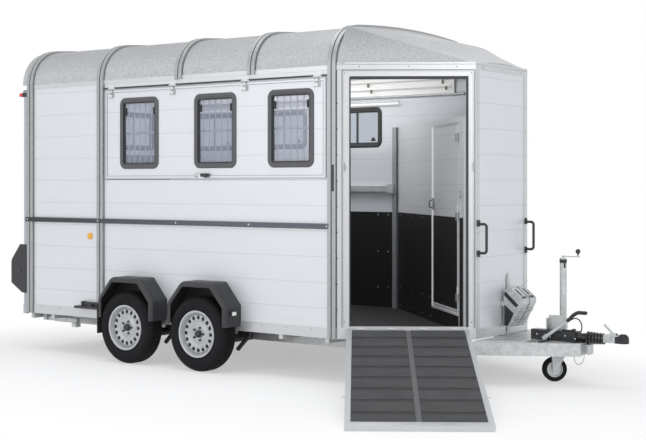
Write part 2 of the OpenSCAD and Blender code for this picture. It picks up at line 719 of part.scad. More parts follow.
module fenders() {
    y0 = half_w + trim_t;
    color("black") place() both_sides() for (i = [0, 1]) translate([wheel_x[i], 0, 0]) {
        translate([0, y0, 0]) along_y(fender_out - y0) difference() {
            fender_line(0);
            fender_line(fender_t);
            translate([-1000, 0]) square([2000, 401]);
        }
        translate([0, fender_out - fender_t, 0]) along_y(fender_t) difference() {
            fender_line(fender_t / 2);
            fender_line(fender_lip);
            translate([-1000, 0]) square([2000, 401]);
        }
        if (i == 1) slab(-fender_half - 8, -fender_half, y0 + 6, fender_out - 6, 248, 520);
    }
}

// Lamps and small pieces
module tail_lamps() {
    color("black") place() both_sides()
        translate([0, rear_half + 22, 0]) along_y(half_w + 8 - rear_half - 22)
            polygon([[portal_x, 520], [portal_x, 1020], [portal_x - 60, 1010],
                [portal_x - 215, 880], [portal_x - 230, 850], [portal_x - 230, 640],
                [portal_x - 200, 585]]);
}
module marker_lamps() {
    color("black") place() {
        both_sides() {
            slab(portal_x - 40, portal_x, half_w - 60, half_w - 6, 2488, 2530);
            slab(portal_x - 66, portal_x - 40, half_w - 54, half_w - 12, 2492, 2526);
            translate([wheel_x[0] + fender_half, half_w + 120, 515]) slab(0, 24, -32, 32, -20, 20);
        }
        both_sides() translate([bow_x[1] - 144, half_w, 1123]) rod_y(30, 0, 9);
    }
}
// One handle of round bar that stands out along x between its two feet
module grab_handle(len, reach, r) {
    for (z = [-len / 2 + 20, len / 2 - 20]) translate([0, 0, z]) slab(0, 12, -15, 15, -26, 26);
    for (s = [-1, 1]) {
        translate([0, 0, s * (len / 2 - 26)]) rod_x(r, 8, reach - 24);
        translate([reach - 24, 0, s * (len / 2 - 50)]) rotate([90, 0, 0]) mirror([0, s < 0 ? 1 : 0, 0])
            rotate_extrude(angle = 90) translate([24, 0]) circle(r, $fn = 24);
    }
    translate([reach, 0, -(len / 2 - 50)]) cylinder(r = r, h = len - 100);
}
module grab_handles() {
    color("black") place() for (y = [-1, 1] * (half_w - corner_y - 33))
        translate([trim_t, y, 1172]) grab_handle(285, 78, 11);
}
module chock() {
    along_y(110) difference() {
        polygon([[0, 0], [0, 300], [52, 330], [176, 232], [176, 196], [64, 0]]);
        translate([250, 20]) circle(150);
        polygon([[6, 6], [6, 290], [50, 318], [164, 228], [164, 204], [110, 118], [60, 6]]);
    }
    for (y = [0, 106]) translate([0, y, 0]) along_y(4) difference() {
        polygon([[0, 0], [0, 300], [52, 330], [176, 232], [176, 196], [64, 0]]);
        translate([250, 20]) circle(150);
    }
}
module wheel_chocks() {
    color("silver") place() {
        for (y = [-20, 110]) translate([28, y, 430]) chock();
        translate([trim_t, 70, beam_top + 4]) {
            slab(0, 5, 0, 40, 0, 480);
            translate([0, 20, 480]) rotate([0, 90, 0]) linear_extrude(5)
                polygon([[0, -20], [-40, 0], [0, 20]]);
        }
        slab(trim_t, 28, -20, 220, 600, 640);
    }
}

// Towing gear
housing_x = [294, 748];
housing_feet = [470, 690];
head_x0 = 922;
function beam_edge(x) = beam_y + (beam_x - x) * tan(beam_a) - beam_w / 2 / cos(beam_a);
module overrun_housing() {
    color("dimgray") place() {
        slab(housing_x[0], housing_x[1] - 60, -46, 46, beam_top + 4, 432);
        slab(housing_x[0] + 60, housing_x[1], -62, 62, beam_top, beam_top + 12);
        slab(housing_feet[1] - 15, housing_feet[1] + 15, -beam_edge(housing_feet[1]) - 12,
            beam_edge(housing_feet[1]) + 12, beam_top, beam_top + 12);
        slab(housing_feet[0] - 15, housing_feet[0] + 15, -beam_edge(housing_feet[0]) - 12, 0,
            beam_top, beam_top + 12);
        difference() {
            slab(mast_x - 52, mast_x + 46, 0, beam_edge(mast_x - 52) + 12, beam_top, beam_top + 12);
            translate([mast_x, mast_y, 0]) cylinder(d = mast_d, h = 1000);
        }
        translate([0, 0, ball_z + 3]) rod_x(34, housing_x[1] - 90, housing_x[1]);
        both_sides() for (x = housing_feet) translate([x, 54, beam_top + 12]) cylinder(r = 11, h = 12);
    }
}
fold_x0 = beam_x + 5;
module bellows() {
    color("black") place() translate([0, 0, ball_z + 3]) rotate([0, 90, 0])
        rotate_extrude() polygon(concat([[26, housing_x[1]], [36, housing_x[1]]],
            [for (i = [0 : 12]) [i % 2 == 0 ? 38 : 54 - i * 0.8, fold_x0 + i * (head_x0 - fold_x0) / 12]],
            [[26, head_x0]]));
}
// Steps of the socket over the ball: height over the ball's centre, radius, thickness
head_steps = [[-22, 46, 42], [20, 43.5, 9], [29, 39, 8], [37, 32, 7], [44, 22, 6]];
module ring_polygon(r, n) polygon([for (k = [0:n - 1]) r * [cos((k + 0.5) * 360 / n), sin((k + 0.5) * 360 / n)]]);
module coupling_head() {
    color("dimgray") place() {
        translate([0, 0, ball_z + 6]) rod_x(22, housing_x[1] + 2, head_x0 + 40);
        difference() {
            union() {
                slab(head_x0, ball_x - 12, -34, 34, ball_z - 22, ball_z + 40);
                for (k = head_steps)
                    translate([ball_x, 0, ball_z + k[0]]) linear_extrude(k[2]) ring_polygon(k[1], 20);
                slab(ball_x - 52, ball_x - 8, -42, 42, ball_z - 22, ball_z + 28);
            }
            translate([ball_x, 0, ball_z - 22]) cylinder(r = ball_r, h = 80, center = true);
        }
        translate([1002, -11, ball_z + 30]) rotate([0, -47, 0]) cube([10, 22, 122]);
        slab(966, 1022, -15, 15, ball_z + 30, ball_z + 54);
    }
}
module handbrake_lever() {
    color("dimgray") place() translate([0, -70, 0]) {
        translate([430, 0, 372]) rod_y(16, -12, 8);
        translate([430, -7, 372]) rotate([0, -36, 0]) translate([0, 0, -14]) cube([276, 14, 28]);
        translate([648, 0, 534]) rotate([0, 90 - 21, 0]) cylinder(r = 14, h = 168);
        translate([648, 0, 534]) sphere(14);
    }
}
module jockey_mast() {
    color("silver") place() {
        translate([mast_x, mast_y, 0]) difference() {
            translate([0, 0, beam_z - 7]) cylinder(d = mast_d, h = mast_z - beam_z + 7);
            translate([0, 0, beam_z - 60]) cylinder(d = mast_d - 8, h = 800);
        }
        difference() {
            union() {
                translate([mast_x, mast_y, 430]) cylinder(d = mast_d + 16, h = 90);
                slab(mast_x - 42, mast_x + 20, mast_y - 58, mast_y - 28, beam_top + 12, 540);
                slab(mast_x - 42, mast_x + 20, mast_y - 74, mast_y - 28, beam_top + 12, beam_top + 20);
            }
            translate([mast_x, mast_y, 300]) cylinder(d = mast_d, h = 400);
        }
    }
}
module jockey_crank() {
    color("silver") place() translate([mast_x, mast_y, mast_z]) {
        cylinder(d = mast_d, h = 8);
        translate([0, 0, 8]) cylinder(r = 8, h = 18);
        rotate([0, 0, -12]) {
            slab(-10, 162, -8, 8, 18, 26);
            translate([150, 0, 26]) cylinder(r = 9, h = 26);
            translate([150, 0, 66]) sphere(r = 20);
        }
    }
}
// Castor parts sit on the wheel's own frame: x trails away from the mast
module at_castor() { translate([mast_x, mast_y, 0]) rotate([0, 0, jockey_a]) children(); }
fork_z = 222;
module jockey_fork() {
    color("silver") place() at_castor() {
        translate([0, 0, fork_z + 14]) cylinder(d = mast_d - 8 - 0.2, h = 500);
        translate([0, 0, fork_z]) cylinder(r = 34, h = 14);
        translate([0, -jockey_w / 2 - 11, fork_z - 6]) cube([jockey_trail + 10, jockey_w + 22, 6]);
        for (y = [-jockey_w / 2 - 11, jockey_w / 2 + 5]) translate([0, y, 0]) along_y(6)
            polygon([[-14, fork_z], [jockey_trail + 30, fork_z], [jockey_trail + 18, 88],
                [jockey_trail - 18, 88]]);
        translate([jockey_trail, 0, jockey_d / 2]) rod_y(8, -jockey_w / 2 - 16, jockey_w / 2 + 16);
    }
}
module at_jockey() { at_castor() translate([jockey_trail, 0, jockey_d / 2]) children(); }
module jockey_tyre() {
    color("dimgray") place() at_jockey() rotate([-90, 0, 0]) rotate_extrude() {
        translate([jockey_d / 2 - 36, -jockey_w / 2 + 8]) square([28, jockey_w - 16]);
        translate([jockey_d / 2 - 30, -jockey_w / 2]) square([16, jockey_w]);
        translate([jockey_d / 2 - 16, -jockey_w / 2 + 14]) square([16, jockey_w - 28]);
        for (s = [-1, 1]) translate([jockey_d / 2 - 14, s * (jockey_w / 2 - 14)]) circle(14);
    }
}
module jockey_hub() {
    color("silver") place() at_jockey() rotate([-90, 0, 0]) difference() {
        union() {
            rotate_extrude() polygon([[jockey_d / 2 - 42, -jockey_w / 2 + 4],
                [jockey_d / 2 - 36, -jockey_w / 2 + 4], [jockey_d / 2 - 36, jockey_w / 2 - 4],
                [jockey_d / 2 - 42, jockey_w / 2 - 4], [jockey_d / 2 - 46, 6], [14, 6], [14, -6],
                [jockey_d / 2 - 46, -6]]);
            translate([0, 0, -jockey_w / 2]) cylinder(r = 18, h = jockey_w);
        }
        translate([0, 0, -100]) cylinder(r = 8 + run_gap, h = 200);
    }
}

// Side ramp, drawn in its closed place and turned down to the ground
ramp_axis = 14;
ramp_axis_z = 445;
gate_hinges = [200, 440, 700, 940];
ramp_u = (gate_u0 + gate_u1) / 2;
ramp_drop = ramp_axis_z - 1;
ramp_down = asin(ramp_drop / norm([ramp_len, ramp_t + 4])) - atan2(ramp_t + 4, ramp_len);
// Ramp frame: x along the corner, y outwards from the hinge, z up from the walking face
module on_ramp() {
    on_corner() translate([ramp_u, -ramp_axis, ramp_axis_z]) mirror([0, 1, 0])
        rotate([-ramp_down, 0, 0]) translate([0, 0, -4]) children();
}
module side_ramp() {
    color("lightgray") place() on_ramp() {
        difference() {
            slab(-ramp_w / 2, ramp_w / 2, 9, ramp_len, -ramp_t, 0);
            slab(-ramp_w / 2 + ramp_edge, ramp_w / 2 - ramp_edge, 30, ramp_len - ramp_edge - 30, -6, 9);
            slab(-ramp_w / 2 + ramp_edge, ramp_w / 2 - ramp_edge, 60, ramp_len - ramp_edge - 60,
                -ramp_t - 1, -30);
        }
        for (u = gate_hinges) translate([u - ramp_u, 0, 4]) {
            rod_x(8, 0.5, 30);
            slab(0.5, 30, 0, 30, -8, -4);
        }
        for (s = [-1, 1]) translate([s * ramp_w / 2, 1480, -ramp_t / 2]) rod_x(7, s > 0 ? 0 : -26,
            s > 0 ? 26 : 0);
    }
}
module ramp_mat(half, len, pitch) {
    slab(-half, half, 0, len, -6, 0);
    for (y = [pitch / 2 : pitch : len - cleat_w], s = [-1, 1])
        translate([s * (half / 2 + 9), y, 0]) slab(-half / 2 + 9, half / 2 - 9, 0, cleat_w, 0, cleat_h);
}
module side_ramp_mat() {
    color("dimgray") place() on_ramp() translate([0, 31, 0])
        ramp_mat(ramp_w / 2 - ramp_edge - 1, ramp_len - ramp_edge - 62, cleat_pitch);
}
rear_axis_z = 388;
rear_hinges = [for (k = [-1.5 : 1.5]) k * rear_half * 0.53 - 10];
rear_axis_x = portal_x - 4;
rear_x0 = portal_x + 4;
module rear_ramp() {
    color("gainsboro") place() {
        difference() {
            slab(rear_x0, rear_x0 + ramp_t, -rear_half, rear_half, rear_z0, rear_z1);
            for (z = [600 : plank_h : rear_z1]) slab(rear_x0 - groove_d, rear_x0 + groove_d,
                -rear_half - 1, rear_half + 1, z - groove_w / 2, z + groove_w / 2);
            at_rear_windows() window_hole(slide_w, slide_h, ramp_t);
        }
        for (y = rear_hinges) translate([rear_axis_x, y, rear_axis_z]) {
            rod_y(8, 0.5, 40);
            slab(0, 8, 0.5, 40, 0, 40);
        }
    }
}
module at_rear_windows() {
    for (y = [-rear_win_y, rear_win_y])
        translate([rear_x0, y, slide_z]) rotate([0, 0, -90]) children();
}
module rear_window_frames() {
    color("black") place() at_rear_windows() {
        window_frame(slide_w, slide_h, ramp_t);
        translate([0, ramp_t / 2 - 12, 0]) along_y(8)
            square([26, slide_h - 2 * win_band + 4], center = true);
    }
}
module rear_window_glass() {
    color("lightsteelblue") place() at_rear_windows() window_glass(slide_w, slide_h, ramp_t);
}
module rear_ramp_mat() {
    color("dimgray") place() translate([rear_x0 + ramp_t, 0, rear_z0 + 40]) rotate([90, 0, 90])
        translate([0, 0, 6]) ramp_mat(rear_half - 40, 1480, cleat_pitch);
}

// Side flap with its windows
module at_flap_windows() {
    for (x = flap_win_x) translate([x, -half_w, win_z]) children();
}
module side_flap() {
    x0 = -flap_x0 + door_gap;
    x1 = -flap_x1 - door_gap;
    z0 = flap_z0 + door_gap;
    z1 = flap_z1 - door_gap;
    color("gainsboro") place() {
        difference() {
            slab(x0, x1, -half_w, -half_w + wall_t, z0, z1);
            grooves(x0 - eps, x1 + eps, -half_w);
            at_flap_windows() window_hole(win_w, win_h, wall_t);
        }
        difference() {
            slab(x0, x1, -half_w - 5, -half_w, z0, z1);
            slab(x0 + 26, x1 - 26, -half_w - 6, -half_w + eps, z0 + 26, z1 - 26);
        }
        for (x = flap_hinges) translate([x, -half_w - 9, flap_z1 + 2]) {
            rod_x(6, -45, 0);
            slab(-45, 0, 0, 5, -80, 0);
        }
        slab(-2400, -2320, -half_w - 16, -half_w - 5, z0 + 4, z0 + 40);
    }
}
flap_hinges = [-3480, -2710, -1870, -1100];
module flap_window_frames() {
    color("dimgray") place() at_flap_windows() window_frame(win_w, win_h, wall_t);
}
module flap_window_glass() {
    color("lightsteelblue") place() at_flap_windows() window_glass(win_w, win_h, wall_t);
}
module flap_window_bars() {
    color("silver") place() at_flap_windows() translate([0, wall_t + win_proud, 0]) {
        for (z = [-win_h / 2 + 10, win_h / 2 - 30, -8]) slab(-win_w / 2 + 8, win_w / 2 - 8, 0, 14, z, z + 20);
        for (i = [-2.5 : 2.5]) translate([i * 70, 7, -win_h / 2 + 12])
            cylinder(r = 5, h = win_h - 24);
    }
}

// Folding stands under the rear end
stand_x = -4570;
stand_y = half_w - 220;
stand_z = 300;
stand_w = 60;
stand_len = 430;
lug_t = 10;
module prop_stand() {
    translate([stand_x, stand_y, stand_z]) {
        rod_y(14, 0, stand_w);
        slab(0, stand_len, 10, stand_w - 10, -26, 12);
        slab(stand_len - 60, stand_len, 0, stand_w, -70, -26);
    }
}
module prop_stand_right() { color("silver") place() mirror([0, 1, 0]) prop_stand(); }
module prop_stand_left() { color("silver") place() prop_stand(); }

module tyre_front_right() { tyre_at(0, -1); }
module tyre_front_left() { tyre_at(0, 1); }
module tyre_rear_right() { tyre_at(1, -1); }
module tyre_rear_left() { tyre_at(1, 1); }
module rim_front_right() { rim_at(0, -1); }
module rim_front_left() { rim_at(0, 1); }
module rim_rear_right() { rim_at(1, -1); }
module rim_rear_left() { rim_at(1, 1); }

chassis();
drawbar();
floor_panel();
floor_mat();
side_wall_right();
side_wall_left();
front_wall();
corner_frame_right();
corner_wall_left();
rear_portal();
roof_shell();
front_hood();
roof_bows();
eave_and_sill_trims();
rubbing_strips();
left_window_frames();
left_window_glass();
kick_boards();
tack_partition();
breast_rail();
ceiling_rails();
fenders();
axles();
tail_lamps();
marker_lamps();
grab_handles();
wheel_chocks();
overrun_housing();
bellows();
coupling_head();
handbrake_lever();
jockey_mast();
jockey_crank();
jockey_fork();
jockey_tyre();
jockey_hub();
tyre_front_right();
tyre_front_left();
tyre_rear_right();
tyre_rear_left();
rim_front_right();
rim_front_left();
rim_rear_right();
rim_rear_left();
side_ramp();
side_ramp_mat();
rear_ramp();
rear_ramp_mat();
rear_window_frames();
rear_window_glass();
side_flap();
flap_window_frames();
flap_window_glass();
flap_window_bars();
inner_door();
tack_door();
prop_stand_right();
prop_stand_left();
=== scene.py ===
"""Dresses the horse trailer: a finish for every piece and the small forms that the solids leave out.

Lengths are metres. Places are written in the trailer's own measures: x forward with 0 at the front
wall, y to the left with 0 in the middle and z up with 0 on the ground. at() turns them into the
frame's coordinates, whose origin is the middle of the towing ball.
"""

import json
import math

import bpy
from mathutils import Matrix, Vector


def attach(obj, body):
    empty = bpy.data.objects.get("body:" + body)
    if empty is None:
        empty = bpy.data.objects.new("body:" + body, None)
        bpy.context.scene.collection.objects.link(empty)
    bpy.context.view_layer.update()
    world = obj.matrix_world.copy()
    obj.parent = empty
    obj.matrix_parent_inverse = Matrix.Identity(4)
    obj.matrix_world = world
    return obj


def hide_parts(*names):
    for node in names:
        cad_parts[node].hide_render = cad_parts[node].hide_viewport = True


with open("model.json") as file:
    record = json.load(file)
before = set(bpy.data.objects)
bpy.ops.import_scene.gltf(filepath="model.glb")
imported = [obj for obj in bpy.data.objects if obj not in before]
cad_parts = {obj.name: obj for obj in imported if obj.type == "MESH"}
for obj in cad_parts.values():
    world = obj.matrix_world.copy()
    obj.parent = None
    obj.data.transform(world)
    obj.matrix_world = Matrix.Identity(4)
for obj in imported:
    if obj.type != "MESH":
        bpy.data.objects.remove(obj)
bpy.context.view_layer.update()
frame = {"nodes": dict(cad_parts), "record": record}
NODES = frame["nodes"]

# Driving measures, as the solids have them
BALL = Vector((1.075, 0.0, 0.385))
HALF_W = 1.075
CORNER = (0.909, 0.640)
SIDE_LEN = 3.700
SILL_Z, EAVE_Z = 0.359, 2.574
REAR_X = -(CORNER[0] + SIDE_LEN)
PORTAL_X = REAR_X - 0.054
WHEEL_X = (-2.268, -3.128)
TYRE_R, TYRE_W, TYRE_OUT = 0.324, 0.185, 1.272
CORNER_LEN = math.hypot(*CORNER)
CORNER_U = Vector((CORNER[0] / CORNER_LEN, CORNER[1] / CORNER_LEN, 0.0))
CORNER_N = Vector((CORNER_U.y, -CORNER_U.x, 0.0))

# Camera of the photograph
CAMERA_AT = Vector((5.330, -9.637, 1.615))
CAMERA_TURN = math.radians(36.7)
LENS = 73.17
SHIFT_UP = -0.0564


def at(x, y, z):
    return Vector((x, y, z)) - BALL


def on_corner(u, out, z, side=-1):
    """A point on a front corner: u along it from its rear edge, out from its face. side is -1 for the right."""
    p = Vector((-CORNER[0], -HALF_W, 0.0)) + CORNER_U * u + CORNER_N * out
    return at(p.x, -side * p.y, z)


# Mesh building


class Shape:
    """Faces of one piece. Each call adds a form, seen through the current local frame."""

    def __init__(self, local=None):
        self.verts, self.faces, self.marks = [], [], []
        self.local = local or Matrix.Translation(-BALL)
        self.mark = 0

    def add(self, verts, faces):
        first = len(self.verts)
        self.verts += [self.local @ Vector(v) for v in verts]
        flip = self.local.determinant() < 0
        for f in faces:
            ids = [first + i for i in f]
            self.faces.append(ids[::-1] if flip else ids)
            self.marks.append(self.mark)

    def prism(self, outline, z0, z1, edge=0.0):
        """Extrudes an anticlockwise outline along z, with its end edges taken off by edge."""
        n = len(outline)
        rings = [(z0, edge), (z0 + edge, 0.0), (z1 - edge, 0.0), (z1, edge)] if edge else [(z0, 0.0), (z1, 0.0)]
        inner = inset(outline, edge) if edge else outline
        verts = []
        for z, d in rings:
            verts += [(p[0], p[1], z) for p in (inner if d else outline)]
        faces = [list(range(n))[::-1], list(range(len(verts) - n, len(verts)))]
        for k in range(len(rings) - 1):
            faces += [[k * n + i, k * n + (i + 1) % n, (k + 1) * n + (i + 1) % n, (k + 1) * n + i] for i in range(n)]
        self.add(verts, faces)

    def box(self, x0, x1, y0, y1, z0, z1, edge=0.0):
        c = min(edge, 0.45 * min(x1 - x0, y1 - y0, z1 - z0))
        outline = [(x0 + c, y0), (x1 - c, y0), (x1, y0 + c), (x1, y1 - c), (x1 - c, y1), (x0 + c, y1), (x0, y1 - c), (x0, y0 + c)]
        if not c:
            outline = [(x0, y0), (x1, y0), (x1, y1), (x0, y1)]
        self.prism(outline, z0, z1, c)

    def lathe(self, profile, sides=32, closed=False):
        """Turns a profile of (radius, height) about z. A closed profile joins its last point to its first."""
        n = len(profile)
        verts = []
        for k in range(sides):
            a = 2 * math.pi * k / sides
            verts += [(r * math.cos(a), r * math.sin(a), h) for r, h in profile]
        last = n if closed else n - 1
        faces = []
        for k in range(sides):
            a, b = k * n, (k + 1) % sides * n
            faces += [[a + i, b + i, b + (i + 1) % n, a + (i + 1) % n] for i in range(last)]
        self.add(verts, faces)

    def tube(self, points, radius, sides=10, closed=False):
        """A round bar along points. radius is one number or one for each point."""
        pts = [Vector(p) for p in points]
        radii = radius if isinstance(radius, (list, tuple)) else [radius] * len(pts)
        count = len(pts)
        side = None
        verts = []
        for i, p in enumerate(pts):
            before = pts[i - 1] if closed or i else p
            after = pts[(i + 1) % count] if closed or i < count - 1 else p
            along = (after - before).normalized()
            if side is None:
                side = along.cross(Vector((0, 0, 1)) if abs(along.z) < 0.9 else Vector((1, 0, 0)))
            side = (side - along * side.dot(along)).normalized()
            up = along.cross(side)
            for k in range(sides):
                a = 2 * math.pi * k / sides
                verts.append(p + (side * math.cos(a) + up * math.sin(a)) * radii[i])
        faces = []
        for i in range(count if closed else count - 1):
            a, b = i * sides, (i + 1) % count * sides
            faces += [[a + k, a + (k + 1) % sides, b + (k + 1) % sides, b + k] for k in range(sides)]
        if not closed:
            faces += [list(range(sides))[::-1], list(range((count - 1) * sides, count * sides))]
        self.add(verts, faces)

    def band(self, path, section, closed=True):
        """Carries a closed section of (out, depth) round a path of (x, z, nx, nz). Depth runs along y."""
        n, m = len(section), len(path)
        verts = [(x + nx * d, y, z + nz * d) for x, z, nx, nz in path for d, y in section]
        faces = []
        for i in range(m if closed else m - 1):
            a, b = i * n, (i + 1) % m * n
            faces += [[a + k, b + k, b + (k + 1) % n, a + (k + 1) % n] for k in range(n)]
        if not closed:
            faces += [list(range(n)), list(range((m - 1) * n, m * n))[::-1]]
        self.add(verts, faces)

    def studs(self, places, radius, height, sides=8):
        """Round heads. Each place is a point and the direction that the head faces."""
        keep = self.local
        for point, facing in places:
            self.local = Matrix.Translation(point) @ Vector(facing).to_track_quat("Z", "Y").to_matrix().to_4x4()
            self.lathe([(radius, -height), (radius, height * 0.3), (radius * 0.7, height * 0.85), (0.0, height)], sides)
        self.local = keep

    def make(self, name, materials, body="trailer", slot=None, replaces=(), smooth=35):
        mesh = bpy.data.meshes.new(name)
        mesh.from_pydata(self.verts, [], self.faces)
        materials = materials if isinstance(materials, (list, tuple)) else [materials]
        for m in materials:
            mesh.materials.append(MATERIALS[m])
        mesh.polygons.foreach_set("material_index", self.marks)
        mesh.polygons.foreach_set("use_smooth", [True] * len(mesh.polygons))
        mesh.update()
        mesh.validate()
        mesh.set_sharp_from_angle(angle=math.radians(smooth))
        piece = bpy.data.objects.new(name, mesh)
        bpy.context.scene.collection.objects.link(piece)
        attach(piece, body)
        if replaces:
            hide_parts(*replaces)
        return piece


def inset(outline, d):
    """The outline moved inwards by d, corner by corner."""
    n = len(outline)
    moved = []
    for i in range(n):
        p, q, r = (Vector(outline[(i + k) % n]) for k in (-1, 0, 1))
        a, b = (q - p).normalized(), (r - q).normalized()
        na, nb = Vector((-a.y, a.x)), Vector((-b.y, b.x))
        mid = na + nb
        moved.append(q + mid * (d * 2 / max(mid.length_squared, 0.3)))
    return moved


def pill(w, h, r, steps=8):
    """Rounded rectangle about its middle as a path of (x, z, nx, nz)."""
    path = []
    for k, (sx, sz) in enumerate([(1, 1), (-1, 1), (-1, -1), (1, -1)]):
        for i in range(steps + 1):
            a = math.pi / 2 * (k + i / steps)
            nx, nz = math.cos(a), math.sin(a)
            path.append((sx * (w / 2 - r) + nx * r, sz * (h / 2 - r) + nz * r, nx, nz))
    return path


def rounded(points, radius, steps=6):
    """An open path through points with its corners rounded, as (x, z, nx, nz) with normals to the left."""
    path = []
    pts = [Vector(p) for p in points]
    for i, q in enumerate(pts):
        if i in (0, len(pts) - 1):
            a = (pts[1] - pts[0] if i == 0 else pts[-1] - pts[-2]).normalized()
            path.append((q.x, q.y, -a.y, a.x))
            continue
        a, b = (q - pts[i - 1]).normalized(), (pts[i + 1] - q).normalized()
        turn = math.atan2(a.x * b.y - a.y * b.x, a.dot(b))
        reach = radius * math.tan(abs(turn) / 2)
        start = q - a * reach
        sign = 1 if turn > 0 else -1
        na = Vector((-a.y, a.x))
        centre = start + na * radius * sign
        for k in range(steps + 1):
            t = turn * k / steps
            n = Vector((na.x * math.cos(t) - na.y * math.sin(t), na.x * math.sin(t) + na.y * math.cos(t)))
            p = centre - n * radius * sign
            path.append((p.x, p.y, n.x, n.y))
    return path


# Materials

MATERIALS = {}


class Tree:
    """Short calls for building a material's nodes."""

    def __init__(self, name):
        self.name = name
        self.material = bpy.data.materials.new(name + "_finish")
        self.material.use_nodes = True
        self.nodes = self.material.node_tree.nodes
        self.links = self.material.node_tree.links
        self.shader = self.nodes["Principled BSDF"]
        self.place = self.node("ShaderNodeTexCoord").outputs["Object"]

    def node(self, kind, **values):
        n = self.nodes.new(kind)
        for key, value in values.items():
            if key in n.bl_rna.properties:
                setattr(n, key, value)
            else:
                self.put(n.inputs[key.replace("_", " ")], value)
        return n

    def put(self, socket, value):
        if isinstance(value, bpy.types.NodeSocket):
            self.links.new(value, socket)
        else:
            socket.default_value = value

    def stretched(self, scale, shift=(0.0, 0.0, 0.0)):
        m = self.node("ShaderNodeMapping")
        self.put(m.inputs["Vector"], self.place)
        m.inputs["Scale"].default_value = scale
        m.inputs["Location"].default_value = shift
        return m.outputs["Vector"]

    def noise(self, scale, detail=3.0, stretch=None):
        n = self.node("ShaderNodeTexNoise", Scale=scale, Detail=detail)
        self.put(n.inputs["Vector"], self.stretched(stretch) if stretch else self.place)
        return n.outputs["Fac"]

    def cells(self, scale, stretch=None):
        n = self.node("ShaderNodeTexVoronoi", Scale=scale)
        self.put(n.inputs["Vector"], self.stretched(stretch) if stretch else self.place)
        return n.outputs["Color"]

    def math(self, operation, a, b=0.0, c=0.0):
        n = self.node("ShaderNodeMath", operation=operation)
        for socket, value in zip(n.inputs, (a, b, c)):
            self.put(socket, value)
        return n.outputs[0]

    def spread(self, value, low, high, start=0.3, end=0.7):
        n = self.node("ShaderNodeMapRange", Value=value, From_Min=start, From_Max=end, To_Min=low, To_Max=high)
        return n.outputs["Result"]

    def mix(self, factor, a, b):
        n = self.node("ShaderNodeMix", data_type="RGBA")
        self.put(n.inputs[0], factor)
        self.put(n.inputs[6], a)
        self.put(n.inputs[7], b)
        return n.outputs[2]

    def tint(self, value, color, amount, start=0.3, end=0.7):
        """The colour made darker and lighter by amount, as the value goes."""
        dark = [c * (1 - amount) for c in color[:3]] + [1.0]
        light = [min(1.0, c * (1 + amount)) for c in color[:3]] + [1.0]
        return self.mix(self.spread(value, 0.0, 1.0, start, end), dark, light)

    def bump(self, height, distance, strength=1.0, under=None):
        n = self.node("ShaderNodeBump", Strength=strength, Distance=distance, Height=height)
        if under is not None:
            self.put(n.inputs["Normal"], under)
        return n.outputs["Normal"]

    def axis(self, which):
        n = self.node("ShaderNodeSeparateXYZ", Vector=self.place)
        return n.outputs[which]

    def finish(self, color, rough, metal=0.0, normal=None, **more):
        s = self.shader
        self.put(s.inputs["Base Color"], color)
        self.put(s.inputs["Roughness"], rough)
        s.inputs["Metallic"].default_value = metal
        if normal is not None:
            self.put(s.inputs["Normal"], normal)
        for key, value in more.items():
            s.inputs[key.replace("_", " ")].default_value = value
        MATERIALS[self.name] = self.material


def seams(t, pitch, first, width):
    """1 on the horizontal seams between planks, which lie pitch apart above first."""
    z = t.math("ADD", t.axis("Z"), BALL.z - first)
    phase = t.math("ABSOLUTE", t.math("SUBTRACT", t.math("FRACT", t.math("DIVIDE", z, pitch)), 0.5))
    return t.math("GREATER_THAN", phase, 0.5 - width / pitch / 2)


def wall_panel():
    t = Tree("wall_panel")
    color = (0.765, 0.785, 0.815, 1.0)
    lines = t.noise(90.0, 2.0, (0.02, 0.02, 1.0))
    plain = t.tint(lines, color, 0.018)
    seam = seams(t, 0.209, 0.600, 0.0035)
    soft = t.noise(1.3, 2.0)
    t.finish(t.mix(t.math("MULTIPLY", seam, 0.42), plain, (0.35, 0.37, 0.40, 1.0)), t.spread(soft, 0.36, 0.44), 0.25,
             t.bump(lines, 0.0004, 0.35))


def frame_profile():
    t = Tree("frame_profile")
    lines = t.noise(160.0, 3.0, (1.0, 1.0, 0.03))
    t.finish(t.tint(lines, (0.62, 0.63, 0.645), 0.04), t.spread(lines, 0.30, 0.42), 0.55, t.bump(lines, 0.0003, 0.3))


def bow_profile():
    t = Tree("bow_profile")
    lines = t.noise(30.0, 3.0)
    t.finish(t.tint(lines, (0.40, 0.41, 0.415), 0.08), t.spread(lines, 0.32, 0.44), 0.5, t.bump(lines, 0.0003, 0.3))


def portal_blue():
    t = Tree("portal_blue")
    soft = t.noise(12.0, 3.0)
    t.finish(t.tint(soft, (0.47, 0.50, 0.55), 0.06), t.spread(soft, 0.34, 0.46), 0.3)


def glow_painted_white():
    t = Tree("glow_painted_white")
    soft = t.noise(2.0, 2.0)
    # A faint emission makes this white glow: painted light, not a lamp.
    t.finish(t.tint(soft, (0.82, 0.82, 0.80), 0.015), 0.5, 0.0, None, Emission_Color=(1.0, 1.0, 0.97, 1.0), Emission_Strength=0.22)


def tinted_glass():
    t = Tree("tinted_glass")
    soft = t.noise(2.5, 2.0)
    t.finish(t.tint(soft, (0.12, 0.21, 0.33), 0.04), t.spread(soft, 0.03, 0.06), 0.0, Alpha=0.36, Specular_IOR_Level=0.3)
    t.material.blend_method = "BLEND"


def inner_panel():
    t = Tree("inner_panel")
    seam = seams(t, 0.209, 0.564, 0.0035)
    soft = t.noise(2.0, 3.0)
    plain = t.tint(soft, (0.70, 0.71, 0.72), 0.02)
    t.finish(t.mix(t.math("MULTIPLY", seam, 0.5), plain, (0.33, 0.34, 0.35, 1.0)), t.spread(soft, 0.38, 0.5), 0.1)


